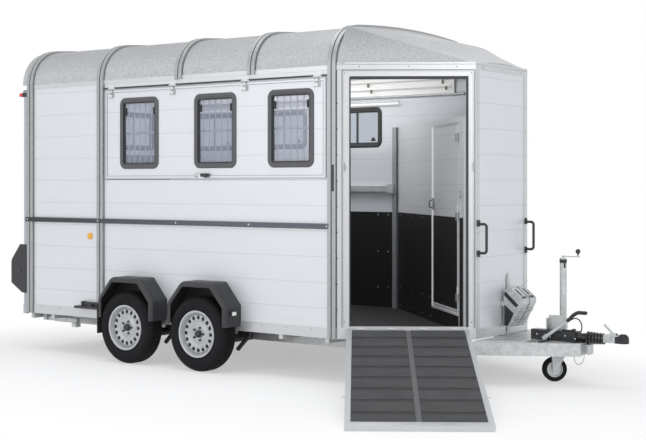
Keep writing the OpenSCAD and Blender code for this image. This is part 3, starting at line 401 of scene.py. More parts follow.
def roof_skin():
    t = Tree("roof_skin")
    grain = t.noise(75.0, 5.0)
    cloud = t.noise(4.0, 3.0)
    # The skin is painted darker towards the crown and lighter towards the front: painted shade on the crown and painted
    # light at the front, over one even roof colour.
    height = t.spread(t.axis("Z"), 0.0, 1.0, EAVE_Z + 0.08 - BALL.z, EAVE_Z + 0.33 - BALL.z)
    shade = t.mix(height, t.tint(grain, (0.55, 0.557, 0.565), 0.15, 0.35, 0.65), t.tint(grain, (0.27, 0.28, 0.295), 0.22, 0.35, 0.65))
    forward = t.spread(t.axis("X"), 0.0, 0.45, -3.6, -1.6)
    color = t.mix(forward, shade, t.tint(grain, (0.54, 0.545, 0.555), 0.12, 0.35, 0.65))
    t.finish(color, t.spread(cloud, 0.42, 0.55), 0.0, t.bump(grain, 0.002, 0.35), Coat_Weight=0.15, Coat_Roughness=0.4)


def galvanised():
    t = Tree("galvanised")
    flakes = t.cells(45.0)
    cloud = t.noise(7.0, 4.0)
    value = t.math("ADD", t.math("MULTIPLY", flakes, 0.35), t.math("MULTIPLY", cloud, 0.65))
    t.finish(t.tint(value, (0.56, 0.575, 0.58), 0.16), t.spread(value, 0.34, 0.5), 0.6, t.bump(flakes, 0.0004, 0.2))


def axle_steel():
    t = Tree("axle_steel")
    dust = t.noise(18.0, 5.0)
    t.finish(t.tint(dust, (0.045, 0.046, 0.05), 0.3), t.spread(dust, 0.42, 0.62), 0.2, t.bump(dust, 0.0006, 0.3))


def floor_wood():
    t = Tree("floor_wood")
    grain = t.noise(30.0, 6.0, (0.15, 1.0, 1.0))
    t.finish(t.tint(grain, (0.16, 0.12, 0.085), 0.25), 0.6, 0.0, t.bump(grain, 0.0006, 0.4))


def mat_rubber():
    t = Tree("mat_rubber")
    speck = t.noise(420.0, 2.0)
    dust = t.noise(6.0, 5.0)
    color = t.mix(t.spread(dust, 0.0, 0.35, 0.45, 0.8), t.tint(speck, (0.062, 0.063, 0.066), 0.25), (0.12, 0.12, 0.122, 1.0))
    t.finish(color, 0.72, 0.0, t.bump(speck, 0.0005, 0.4))


def strip_rubber():
    t = Tree("strip_rubber")
    speck = t.noise(420.0, 2.0)
    t.finish(t.tint(speck, (0.115, 0.116, 0.12), 0.15), 0.6, 0.0, t.bump(speck, 0.0005, 0.4))


def dark_rubber():
    t = Tree("dark_rubber")
    speck = t.noise(420.0, 2.0)
    t.finish(t.tint(speck, (0.022, 0.022, 0.024), 0.2), 0.66, 0.0, t.bump(speck, 0.0005, 0.4))


def black_plastic():
    t = Tree("black_plastic")
    grain = t.noise(520.0, 2.0)
    soft = t.noise(9.0, 3.0)
    t.finish(t.tint(soft, (0.030, 0.031, 0.034), 0.18), t.spread(soft, 0.42, 0.54), 0.0, t.bump(grain, 0.0004, 0.4))


def window_frame():
    t = Tree("window_frame")
    grain = t.noise(420.0, 2.0)
    soft = t.noise(6.0, 3.0)
    t.finish(t.tint(soft, (0.098, 0.098, 0.108), 0.08), t.spread(soft, 0.38, 0.48), 0.0, t.bump(grain, 0.0003, 0.3))


def black_steel():
    t = Tree("black_steel")
    soft = t.noise(24.0, 4.0)
    t.finish(t.tint(soft, (0.028, 0.029, 0.032), 0.2), t.spread(soft, 0.34, 0.5), 0.25, t.bump(soft, 0.0005, 0.25))


def window_bars():
    t = Tree("window_bars")
    soft = t.noise(30.0, 3.0)
    t.finish(t.tint(soft, (0.62, 0.63, 0.66), 0.06), t.spread(soft, 0.3, 0.4), 0.4)


def strip_plastic():
    t = Tree("strip_plastic")
    soft = t.noise(5.0, 3.0, (0.3, 1.0, 1.0))
    # Painted reflection: the strip is painted dark at the rear and lighter and bluer towards the front, as a sheen
    # along the vinyl.
    along = t.spread(t.axis("X"), 0.0, 1.0, PORTAL_X - BALL.x, -2.2 - BALL.x)
    color = t.mix(along, t.tint(soft, (0.018, 0.019, 0.024), 0.12), t.tint(soft, (0.105, 0.108, 0.14), 0.10))
    t.finish(color, t.spread(soft, 0.26, 0.34), 0.0)


def seam_shadow():
    t = Tree("seam_shadow")
    soft = t.noise(3.0, 2.0)
    t.finish(t.tint(soft, (0.30, 0.31, 0.33), 0.06), 0.5, 0.2)


def lens(name, color, glow):
    t = Tree(name)
    ribs = t.noise(120.0, 1.0)
    # The emission makes the amber, red and clear lenses and reflectors shine though no lamp is lit: painted light.
    t.finish(t.tint(ribs, color, 0.12), 0.12, 0.0, t.bump(ribs, 0.0006, 0.3), Coat_Weight=0.6,
             Emission_Color=(*color, 1.0), Emission_Strength=glow)


def lenses():
    lens("amber_lens", (0.85, 0.40, 0.02), 0.06)
    lens("red_lens", (0.62, 0.015, 0.012), 0.15)
    lens("clear_lens", (0.80, 0.80, 0.78), 0.10)
    lens("khaki_clip", (0.22, 0.21, 0.15), 0.0)


def gloss_rubber():
    t = Tree("gloss_rubber")
    soft = t.noise(12.0, 3.0)
    t.finish(t.tint(soft, (0.014, 0.014, 0.016), 0.2), t.spread(soft, 0.2, 0.32), 0.0)


def kick_black():
    t = Tree("kick_black")
    grain = t.noise(420.0, 2.0)
    t.finish(t.tint(grain, (0.011, 0.0112, 0.012), 0.2), 0.5, 0.0, t.bump(grain, 0.0003, 0.3), Specular_IOR_Level=0.35)


def lamp_glow():
    t = Tree("lamp_glow")
    soft = t.noise(8.0, 2.0)
    t.finish(t.tint(soft, (0.80, 0.80, 0.76), 0.03), 0.3, 0.0, None, Emission_Color=(1.0, 0.98, 0.92, 1.0), Emission_Strength=0.9)


def window_glass():
    t = Tree("window_glass")
    soft = t.noise(2.5, 2.0)
    t.finish(t.tint(soft, (0.40, 0.43, 0.53), 0.04), t.spread(soft, 0.03, 0.06), 0.0, Alpha=0.40, Specular_IOR_Level=0.5)
    t.material.blend_method = "BLEND"


def tyre():
    t = Tree("tyre")
    dust = t.noise(14.0, 5.0)
    fine = t.noise(300.0, 2.0)
    t.finish(t.tint(dust, (0.0055, 0.0058, 0.0072), 0.22), t.spread(dust, 0.68, 0.82), 0.0, t.bump(fine, 0.0004, 0.35),
             Specular_IOR_Level=0.25)


def wheel_silver():
    t = Tree("wheel_silver")
    soft = t.noise(60.0, 3.0)
    t.finish(t.tint(soft, (0.52, 0.53, 0.55), 0.02), t.spread(soft, 0.30, 0.38), 0.25, None, Coat_Weight=0.3, Coat_Roughness=0.15)


def make_materials():
    for build in (wall_panel, frame_profile, bow_profile, portal_blue, glow_painted_white, tinted_glass, inner_panel, roof_skin, galvanised, axle_steel, floor_wood, mat_rubber,
                  strip_rubber, dark_rubber, black_plastic, window_frame, black_steel, window_bars, strip_plastic, seam_shadow, lenses, gloss_rubber, kick_black, lamp_glow, window_glass, tyre, wheel_silver):
        build()


def dress_nodes():
    """Gives every carried-over solid the finish of its slot."""
    for row in frame["record"]["subparts"]:
        mesh = NODES[row["node"]].data
        mesh.materials.clear()
        mesh.materials.append(MATERIALS[row["material_slot"]])


# Wheels and fenders


def wheel_rows():
    for name, x in (("front", WHEEL_X[0]), ("rear", WHEEL_X[1])):
        for side in (-1, 1):
            local = Matrix.Translation(at(x, side * (TYRE_OUT - TYRE_W / 2), TYRE_R))
            yield f"{name}_{'right' if side < 0 else 'left'}", side, local @ Matrix.Rotation(-side * math.pi / 2, 4, "X")


def tyre_profile():
    """Closed section of a tyre as (radius, height, cut depth of the shoulder blocks)."""
    side = [(0.192, 0.062, 0), (0.196, 0.071, 0), (0.204, 0.077, 0), (0.209, 0.0785, 0), (0.212, 0.0840, 0),
            (0.216, 0.0855, 0), (0.220, 0.0845, 0), (0.232, 0.0885, 0), (0.248, 0.0915, 0), (0.262, 0.0925, 0),
            (0.264, 0.0918, 0), (0.266, 0.0925, 0), (0.278, 0.0912, 0), (0.290, 0.0868, 0), (0.2915, 0.0850, 0),
            (0.293, 0.0862, 0), (0.3015, 0.0800, 0), (0.306, 0.0755, 0.002), (0.3115, 0.0700, 0.005),
            (0.317, 0.0630, 0.007), (0.3205, 0.0545, 0.007), (0.3228, 0.0450, 0.007), (0.3235, 0.0405, 0.007)]
    tread = []
    for y in (36, 12, -12, -36):
        mid = y / 1000
        top = 0.3236 if abs(y) > 20 else 0.324
        tread += [(top, mid + 0.0042, 0), (0.3165, mid + 0.0030, 0), (0.3165, mid - 0.0030, 0), (top, mid - 0.0042, 0)]
    return side + tread + [(r, -h, c) for r, h, c in reversed(side)] + [(0.188, -0.060, 0), (0.188, 0.060, 0)]


def tyres():
    profile = tyre_profile()
    n = len(profile)
    steps = [(k + f) / 52 * 2 * math.pi for k in range(52) for f in (0.0, 0.12, 0.17, 0.56, 0.95)]
    for where, side, local in wheel_rows():
        s = Shape(local)
        verts = []
        for k, a in enumerate(steps):
            cut = k % 5 < 2
            verts += [((r - c * cut) * math.cos(a), (r - c * cut) * math.sin(a), h) for r, h, c in profile]
        faces = []
        for k in range(len(steps)):
            a, b = k * n, (k + 1) % len(steps) * n
            faces += [[a + i, a + (i + 1) % n, b + (i + 1) % n, b + i] for i in range(n)]
        s.add(verts, faces)
        s.make("tread_" + where, "tyre", "wheel_" + where, replaces=("tyre_" + where,), smooth=30)
        hub = Shape(local)
        hub.lathe([(0.031, 0.040), (0.031, 0.066), (0.028, 0.0735), (0.020, 0.0775), (0.0, 0.0785)], 32)
        for i in range(5):
            a = 2 * math.pi * i / 5
            hub.local = local @ Matrix.Translation((0.056 * math.cos(a), side * 0.056 * math.sin(a), 0.0))
            hub.lathe([(0.0125, 0.042), (0.0125, 0.0465), (0.0098, 0.0485), (0.0098, 0.0640), (0.0070, 0.0665), (0.0, 0.0668)], 12)
        hub.local = local @ Matrix.Rotation(0.5, 4, "Z") @ Matrix.Translation((0.158, 0.0, 0.030))
        hub.lathe([(0.0055, 0.0), (0.0055, 0.030), (0.004, 0.034), (0.0, 0.035)], 10)
        hub.make("wheel_bolts_" + where, "black_plastic", "wheel_" + where)


def fenders():
    path = rounded([(-0.345, 0.400), (-0.345, 0.578), (-0.180, 0.772), (0.180, 0.772), (0.345, 0.578), (0.345, 0.400)], 0.085, 8)
    top = [(0.0, 1.081), (0.0, 1.160), (0.0, 1.238), (-0.0015, 1.250), (-0.0055, 1.260), (-0.0115, 1.2675),
           (-0.019, 1.2722), (-0.030, 1.2738), (-0.038, 1.2738), (-0.0412, 1.2750), (-0.0455, 1.2735), (-0.0480, 1.2695),
           (-0.0465, 1.2655), (-0.0430, 1.2645), (-0.036, 1.2672), (-0.024, 1.2660), (-0.0145, 1.2560), (-0.0065, 1.2420),
           (-0.0055, 1.160), (-0.0055, 1.081)]
    s = Shape()
    for side in (-1, 1):
        for k, x in enumerate(WHEEL_X):
            s.local = Matrix.Translation(-BALL) @ Matrix.Diagonal((1, side, 1, 1)) @ Matrix.Translation((x, 0, 0))
            s.band(path, top, closed=False)
            if k:
                s.box(-0.353, -0.3455, 1.087, 1.269, 0.250, 0.520, 0.002)
                for y in (1.11, 1.18, 1.25):
                    s.box(-0.3555, -0.352, y - 0.012, y + 0.012, 0.47, 0.50, 0.001)
    s.make("fender_shells", "black_plastic", replaces=("fenders",), smooth=40)


# Windows


FRAME_OUTER = [(-0.044, -0.004), (-0.044, 0.0045), (-0.0425, 0.0075), (-0.038, 0.0088), (-0.0345, 0.0080), (-0.0325, 0.0068),
               (-0.0305, 0.0080), (-0.026, 0.0103), (-0.016, 0.0115), (-0.008, 0.0098), (-0.003, 0.0062), (-0.0005, 0.0022),
               (0.0, 0.0), (-0.010, -0.004)]


def window_ring(s, w, h, r, thick, proud=1.0):
    """A frame's outer ring at y = 0 facing -y, its inner ring on the panel's other side and the web between."""
    path = pill(w, h, r, 10)
    s.band(path, [(d, -y * proud) for d, y in FRAME_OUTER])
    s.band(path, [(d, thick + y * 0.75) for d, y in reversed(FRAME_OUTER)])
    s.band(path, [(-0.044, -0.003), (-0.028, -0.003), (-0.028, thick + 0.003), (-0.044, thick + 0.003)])


def gasket(s, w, h, r, y0, y1, width):
    path = pill(w - 0.088, h - 0.088, r - 0.044, 8)
    s.band(path, [(-width, y0), (0.0005, y0), (0.0005, y1), (-width, y1)])


def flap_windows():
    rings, seals = Shape(), Shape()
    for x in (-3.133, -2.218, -1.386):
        place = Matrix.Translation(at(x, -HALF_W, 2.074))
        rings.local = seals.local = place
        window_ring(rings, 0.488, 0.652, 0.066, 0.030)
        gasket(seals, 0.488, 0.652, 0.066, 0.001, 0.0125, 0.011)
        for sx in (-1, 1):
            for k in (0.0, 0.022):
                seals.box(sx * 0.176 - 0.011, sx * 0.176 + 0.011, 0.006, 0.0125, 0.178 + k, 0.197 + k, 0.003)
            seals.tube([(sx * 0.176, 0.004, 0.176), (sx * 0.176, 0.004, 0.222)], 0.0065, 10)
            seals.box(sx * 0.176 - 0.016, sx * 0.176 + 0.016, 0.0085, 0.0125, 0.166, 0.232, 0.002)
        seals.box(-0.200, -0.181, 0.004, 0.0125, -0.262, -0.030, 0.003)
    rings.make("flap_window_rings", "window_frame", "side_flap", "black_plastic", ("flap_window_frames",))
    seals.make("flap_window_seals", "black_plastic", "side_flap")


def sliding_windows(rings, seals, place):
    """One sliding window with its split bar, two sashes and latch, seen from -y."""
    rings.local = seals.local = place
    path = pill(0.600, 0.400, 0.066, 10)
    for y0, sign in ((0.0, -1), (0.030, 1)):
        section = [(d, y0 + sign * y * 0.8) for d, y in FRAME_OUTER]
        rings.band(path, section if sign < 0 else section[::-1])
    rings.band(path, [(-0.044, -0.002), (-0.028, -0.002), (-0.028, 0.032), (-0.044, 0.032)])
    gasket(seals, 0.600, 0.400, 0.066, 0.004, 0.026, 0.008)
    seals.box(-0.013, 0.013, 0.005, 0.0115, -0.158, 0.158, 0.003)
    seals.box(-0.245, -0.233, 0.0185, 0.025, -0.150, 0.150, 0.002)


def other_windows():
    rings, seals = Shape(), Shape()
    for x in (-4.100, -3.140, -2.210):
        place = Matrix.Translation(at(x, HALF_W - 0.030, 2.170))
        sliding_windows(rings, seals, place)
        seals.box(0.170, 0.225, -0.006, 0.004, -0.135, -0.118, 0.003)
        seals.box(0.185, 0.212, -0.013, 0.004, -0.122, -0.100, 0.004)
    rings.make("left_window_rings", "black_plastic", replaces=("left_window_frames",))
    seals.make("left_window_seals", "black_plastic")
    rings, seals = Shape(), Shape()
    for y in (-0.370, 0.370):
        place = Matrix.Translation(at(PORTAL_X + 0.004, y, 2.170)) @ Matrix.Rotation(-math.pi / 2, 4, "Z")
        sliding_windows(rings, seals, place @ Matrix.Diagonal((1, 4 / 3, 1, 1)))
    rings.make("rear_window_rings", "black_plastic", "rear_ramp", replaces=("rear_window_frames",))
    seals.make("rear_window_seals", "black_plastic", "rear_ramp")


# Front roof moulding

ROOF_R, ROOF_RISE = 0.335, 0.368
HOOD_X0, HOOD_X1, HOOD_BLEND, HOOD_BREAK, HOOD_BREAK_Z, HOOD_FRONT = -0.950, -0.913, 0.080, 0.400, 0.232, 0.038


def roof_half():
    """Half of the roof's section over the wall top, from its foot to the middle, as (y, z)."""
    sy = HALF_W - ROOF_R
    k = ROOF_RISE - ROOF_R
    crown_r = (sy * sy + k * k) / (2 * k) + ROOF_R
    crown_a = math.asin(sy / (crown_r - ROOF_R))
    turn = math.pi / 2 - crown_a
    half = [(sy + ROOF_R * math.cos(turn * i / 6), ROOF_R * math.sin(turn * i / 6)) for i in range(6)]
    return half + [(crown_r * math.sin(crown_a * i / 4), ROOF_RISE - crown_r + crown_r * math.cos(crown_a * i / 4)) for i in (4, 3, 2, 1, 0)]


def hood_half(x):
    w = min(HALF_W, HALF_W - (x + CORNER[0]) * CORNER[1] / CORNER[0])
    if x < -HOOD_BREAK:
        mid = ROOF_RISE + (HOOD_BREAK_Z - ROOF_RISE) * (x - HOOD_X0) / (-HOOD_BREAK - HOOD_X0)
    else:
        mid = HOOD_FRONT + (HOOD_BREAK_Z - HOOD_FRONT) * -x / HOOD_BREAK
    ridge = 0.016 + (ROOF_R - 0.016) * min(1, -x / CORNER[0])
    dip = 0.034 * math.sin(math.pi * (x - HOOD_X0) / -HOOD_X0)
    half = [(w, 0), (w, ridge * 0.34), (w, ridge * 0.67), (w, ridge - min(0.008, ridge / 4)), (w - 0.014, ridge),
            (w * 0.92, ridge + 0.001 - dip * 0.6), (w * 0.85, ridge + 0.002 - dip * 0.7),
            (w * 0.64, mid * 0.9 + ridge * 0.1 - 0.016), (w * 0.5, mid - 0.010), (w * 0.34, mid - 0.004), (0, mid)]
    k = max(0.0, min(1.0, (x - HOOD_X1) / HOOD_BLEND))
    k = k * k * (3 - 2 * k)
    return [(a[0] * (1 - k) + b[0] * k, a[1] * (1 - k) + b[1] * k) for a, b in zip(roof_half(), half)]


def curved(points, steps):
    """Points of a smooth curve through the given ones."""
    out = []
    n = len(points)
    for i in range(n - 1):
        a, b = Vector(points[i]), Vector(points[i + 1])
        before = Vector(points[i - 1]) if i else a + (a - b)
        after = Vector(points[i + 2]) if i < n - 2 else b + (b - a)
        for k in range(steps):
            t = k / steps
            ta, tb = (b - before) * 0.5, (after - a) * 0.5
            out.append(a * (2 * t**3 - 3 * t * t + 1) + ta * (t**3 - 2 * t * t + t) + b * (3 * t * t - 2 * t**3) + tb * (t**3 - t * t))
    return out + [Vector(points[-1])]


def hood():
    xs = [HOOD_X0, -0.930, HOOD_X1] + [HOOD_X1 + HOOD_BLEND * k / 5 for k in range(1, 6)]
    xs += [-0.790, -0.740, -0.690, -0.640, -0.590, -0.545, -0.500, -0.460, -0.430, -0.410, -0.390, -0.370, -0.340]
    xs += [-0.300, -0.250, -0.200, -0.150, -0.110, -0.075, -0.050, -0.030, -0.015, -0.006]
    rings = []
    for x in xs:
        half = curved(hood_half(x), 4)
        ring = [(x, -y, EAVE_Z + z) for y, z in half] + [(x, y, EAVE_Z + z) for y, z in reversed(half[:-1])]
        rings.append(ring)
    n = len(rings[0])
    last = rings[-1]
    for d, k in ((0.004, 0.97), (0.0055, 0.86), (0.006, 0.5)):
        rings.append([(last[i][0] + d, p[1], EAVE_Z + (p[2] - EAVE_Z) * k) for i, p in enumerate(last)])
    verts = [p for r in rings for p in r]
    faces = []
    for j in range(len(rings) - 1):
        a, b = j * n, (j + 1) * n
        faces += [[a + i, b + i, b + i + 1, a + i + 1] for i in range(n - 1)]
    s = Shape()
    s.add(verts, faces)
    front = [(0.0, p[1], p[2]) for p in rings[-1]]
    s.add(front, [list(range(n))[::-1]])
    inner = []
    for r in rings:
        w = abs(r[0][1])
        inner.append([(min(p[0], p[0] * 0.4 - 0.022), p[1] * (w - 0.022) / w, max(EAVE_Z, p[2] - 0.022)) for p in r])
    first = len(verts)
    flipped = [p for r in inner for p in r]
    s.add(flipped, [f[::-1] for f in faces])
    for j in range(len(rings) - 1):
        for i in (0, n - 1):
            quad = [j * n + i, (j + 1) * n + i]
            s.add([verts[quad[0]], verts[quad[1]], flipped[quad[1]], flipped[quad[0]]], [[0, 1, 2, 3]])
    s.make("hood_moulding", "roof_skin", replaces=("front_hood",), smooth=45)


# Ramps


def on_ramp():
    """Frame of the side ramp as it lies: x along the corner, y outwards from the hinge, z up from its face."""
    axis_z = 0.445
    drop, thick = axis_z - 0.001, 0.044
    down = math.asin(drop / math.hypot(2.070, thick)) - math.atan2(thick, 2.070)
    out = Matrix.Translation(on_corner(0.570, 0.014, axis_z))
    turn = Matrix(((CORNER_U.x, CORNER_N.x, 0, 0), (CORNER_U.y, CORNER_N.y, 0, 0), (0, 0, 1, 0), (0, 0, 0, 1)))
    # The corner's axis and its outward normal with z up make a left-handed frame, as in the solids
    return out @ turn @ Matrix.Rotation(-down, 4, "X") @ Matrix.Translation((0, 0, -0.004))


def ramp_sheet(s, half, length, pitch, first, gap):
    """Ribbed rubber on each side of a plain strip, with smooth troughs where the cross bars were."""
    s.mark = 1
    s.box(-gap, gap, 0.0, length, -0.005, 0.0015, 0.001)
    s.mark = 0
    bars = []
    y = first
    while y < length - 0.02:
        bars.append(y)
        y += pitch
    edges = [0.0] + bars + [length]
    for side in (-1, 1):
        x0, x1 = sorted((side * gap, side * half))
        for a, b in zip(edges, edges[1:]):
            start = a + (0.058 if a else 0.0)
            if b - start < 0.02:
                continue
            s.mark = 0
            count = max(2, round((b - start) / 0.0125))
            step = (b - start) / count
            outline = [(start, -0.005)]
            outline += [(b, -0.005), (b, 0.002)]
            ribs = []
            for k in range(count):
                y0 = b - k * step
                ribs += [(y0 - step * 0.08, 0.0052), (y0 - step * 0.52, 0.0052), (y0 - step * 0.64, 0.0030), (y0 - step * 0.94, 0.0030)]
            outline += ribs + [(start, 0.002)]
            verts = [(x, p[0], p[1]) for x in (x0, x1) for p in outline]
            n = len(outline)
            faces = [list(range(n))[::-1], list(range(n, 2 * n))]
            faces += [[i, (i + 1) % n, n + (i + 1) % n, n + i] for i in range(n)]
            s.add(verts, faces)
        for a in bars:
            s.mark = 2
            s.box(x0, x1, a, a + 0.058, -0.005, 0.0005)
    s.mark = 0


def ramp_sheets():
    s = Shape(on_ramp() @ Matrix.Translation((0, 0.031, 0)))
    ramp_sheet(s, 0.4515, 1.968, 0.232, 0.174, 0.019)
    s.make("side_ramp_rubber", ["mat_rubber", "strip_rubber", "dark_rubber"], "side_ramp", replaces=("side_ramp_mat",))


# Body


def side_point(x, out, z, side=-1):
    return at(x, side * (HALF_W + out), z)


def roof_line(d, steps=14):
    """Points over the roof from the right eave to the left one, d above the skin, as (y, z)."""
    sy = HALF_W - ROOF_R
    k = ROOF_RISE - ROOF_R
    crown_r = (sy * sy + k * k) / (2 * k) + ROOF_R
    crown_a = math.asin(sy / (crown_r - ROOF_R))
    turn = math.pi / 2 - crown_a
    right = [(-(sy + (ROOF_R + d) * math.cos(turn * i / steps)), EAVE_Z + (ROOF_R + d) * math.sin(turn * i / steps)) for i in range(steps + 1)]
    crown = [((crown_r + d) * math.sin(a), EAVE_Z + ROOF_RISE - crown_r + (crown_r + d) * math.cos(a))
             for a in (crown_a * (2 * i / steps - 1) for i in range(1, steps))]
    return right + crown + [(-y, z) for y, z in reversed(right)]


def strip_over_roof(s, x0, x1, low, high):
    """A band across the roof between two heights over its skin, from eave to eave."""
    a, b = roof_line(low), roof_line(high)
    n = len(a)
    verts = [(x, y, z) for x in (x0, x1) for line in (a, b) for y, z in line]
    faces = []
    for i in range(n - 1):
        faces += [[n + i, n + i + 1, 3 * n + i + 1, 3 * n + i], [i, n + i, n + i + 1, i + 1][::-1],
                  [2 * n + i, 3 * n + i, 3 * n + i + 1, 2 * n + i + 1]]
    faces += [[0, 2 * n, 3 * n, n], [n - 1, 2 * n - 1, 4 * n - 1, 3 * n - 1]]
    s.add(verts, faces)


BOWS = (-4.600, -3.627, -2.642, -1.804, -0.955)


FLAP_HINGES = (-3.490, -2.720, -1.880, -1.112)


def body_trim():
    strip = Shape()
    for side in (-1, 1):
        y0, y1 = (-HALF_W - 0.0232, -HALF_W + 0.001) if side < 0 else (HALF_W - 0.001, HALF_W + 0.0232)
        strip.box(PORTAL_X, -0.982, y0, y1, 1.246, 1.290, 0.004)
    strip.make("long_rubbing_strips", "strip_plastic", slot="black_plastic", replaces=("rubbing_strips",))

    light = Shape()
    places = []
    for x in (-4.631, -3.650, -2.663, -1.822, -1.000):
        places += [(side_point(x, 0.0232, 1.268, s), (0, s, 0)) for s in (-1, 1)]
    light.studs(places, 0.0085, 0.0035, 12)
    light.make("strip_screws", "galvanised")

    dark = Shape()
    places = [(side_point(x, 0.006, 0.424, s), (0, s, 0)) for x in (-4.444, -4.190, -1.684, -1.426, -1.165) for s in (-1, 1)]
    places += [(on_corner(0.001, 0.0, 2.262 - 0.2087 * k), CORNER_N) for k in range(9)]
    places += [(on_corner(u, 0.006, 2.557), CORNER_N) for u in (0.179, 0.572, 0.963)]
    places += [(on_corner(u, 0.008, z), CORNER_N) for u, z in ((0.060, 2.505), (1.080, 2.505), (0.060, 0.50), (1.080, 0.50))]
    places += [(at(0.0065, y, 2.555), (1, 0, 0)) for y in (-0.32, 0.0, 0.32)]
    places += [(at(0.006, s * 0.405, 2.262 - 0.2087 * k), (1, 0, 0)) for k in range(9) for s in (-1, 1)]
    places += [(at(0.006, y, 0.424), (1, 0, 0)) for y in (-0.30, -0.04, 0.26)]
    places += [(side_point(x, 0.0105, z, s), (0, s, 0)) for x in (BOWS[0], BOWS[1], BOWS[4]) for z in (0.50, 0.86, 1.50, 1.86, 2.22) for s in (-1, 1)]
    for x in BOWS:
        places += [(side_point(x, 0.0105, 2.552, s), (0, s, 0)) for s in (-1, 1)]
    dark.studs(places, 0.0045, 0.002, 8)
    dark.make("body_screws", "black_steel")

    seams = Shape()
    # The black strips between each bow's beads and beside each bow, on the roof and down the walls, are painted shade:
    # the groove's shade and the bow's cast shadow.
    for x in BOWS:
        strip_over_roof(seams, x - 0.0035, x + 0.0035, 0.009, 0.0106)
        strip_over_roof(seams, x + 0.0402, x + 0.0440, -0.001, 0.0022)
        for side in (-1, 1):
            low = 0.365 if x in (BOWS[0], BOWS[1], BOWS[4]) else 2.540
            y = sorted((side * (HALF_W + 0.009), side * (HALF_W + 0.0106)))
            seams.box(x - 0.0035, x + 0.0035, y[0], y[1], low, EAVE_Z)
            y = sorted((side * HALF_W, side * (HALF_W + 0.0022)))
            seams.box(x + 0.0402, x + 0.0440, y[0], y[1], low, EAVE_Z)
    for side in (-1, 1):
        y = sorted((side * (HALF_W - 0.001), side * (HALF_W + 0.0125)))
        if side < 0:
            ends = [-3.586] + [x + d for x in FLAP_HINGES for d in (-0.036, 0.036)] + [-0.996]
            for x0, x1 in zip(ends[::2], ends[1::2]):
                seams.box(x0, x1, y[0], y[1], 2.4885, 2.501, 0.002)
    seams.box(BOWS[4] - 0.046, BOWS[4] - 0.040, -HALF_W - 0.011, -HALF_W + 0.001, 1.64, 2.49)
    seams.make("bow_shade_and_seam_lines", "black_plastic")

    amber = Shape()
    for side in (-1, 1):
        amber.local = Matrix.Translation(side_point(-3.771, 0.0, 1.123, side)) @ Matrix.Rotation(-side * math.pi / 2, 4, "X")
        amber.lathe([(0.0315, 0.0), (0.0315, 0.0085), (0.0290, 0.0105), (0.0180, 0.0118), (0.0, 0.0122)], 40)
    amber.make("amber_reflectors", "amber_lens", slot="black_plastic")

    bracket = Shape()
    for side in (-1, 1):
        bracket.local = Matrix.Translation(-BALL) @ Matrix.Diagonal((1, -side, 1, 1))
        bracket.box(-3.915, -3.470, -1.150, -1.081, 0.447, 0.470, 0.003)
        bracket.box(-3.840, -3.470, -1.118, -1.081, 0.470, 0.508, 0.003)
        bracket.box(-3.842, -3.820, -1.128, -1.081, 0.468, 0.514, 0.002)
        bracket.box(-3.740, -3.690, -1.142, -1.081, 0.468, 0.490, 0.003)
    bracket.make("sill_brackets", "black_plastic")


def tube_frame(s, x0, x1, z0, z1, y0, y1, width):
    """A flat raised line round a rectangle."""
    for a, b, c, d in ((x0, x1, z0, z0 + width), (x0, x1, z1 - width, z1), (x0, x0 + width, z0, z1), (x1 - width, x1, z0, z1)):
        s.box(a, b, y0, y1, c, d)


def flap_hardware():
    y = -HALF_W
    plate = Shape()
    pins = []
    for x in FLAP_HINGES:
        plate.box(x - 0.033, x + 0.033, y - 0.0075, y - 0.004, 2.404, 2.4815, 0.0015)
        plate.box(x - 0.022, x + 0.022, y - 0.0125, y - 0.006, 2.438, 2.452, 0.003)
        for k in (-1, 0, 1):
            plate.tube([(x + k * 0.0215 - 0.010, y - 0.0115, 2.4805), (x + k * 0.0215 + 0.010, y - 0.0115, 2.4805)], 0.0072, 12)
        pins += [(at(x + a, y - 0.0078, z), (0, -1, 0)) for a in (-0.020, 0.020) for z in (2.417, 2.464)]
    plate.studs(pins, 0.0052, 0.0022, 10)
    plate.make("flap_hinges", "bow_profile", "side_flap", "galvanised")

    line = Shape()
    tube_frame(line, -3.566, -1.023, 1.661, 2.477, y - 0.0062, y - 0.0045, 0.004)
    tube_frame(line, -3.545, -1.044, 1.682, 2.456, y - 0.0062, y - 0.0045, 0.003)
    line.make("flap_lines", "seam_shadow", "side_flap", "frame_profile")

    latch = Shape()
    latch.box(-2.452, -2.372, y - 0.013, y - 0.004, 1.672, 1.706, 0.004)
    latch.box(-2.440, -2.420, y - 0.018, y - 0.012, 1.680, 1.698, 0.003)
    latch.mark = 1
    latch.box(-2.374, -2.270, y - 0.026, y - 0.008, 1.674, 1.704, 0.006)
    latch.box(-2.330, -2.286, y - 0.034, y - 0.024, 1.668, 1.696, 0.005)
    latch.make("flap_latch", ["galvanised", "black_plastic"], "side_flap")


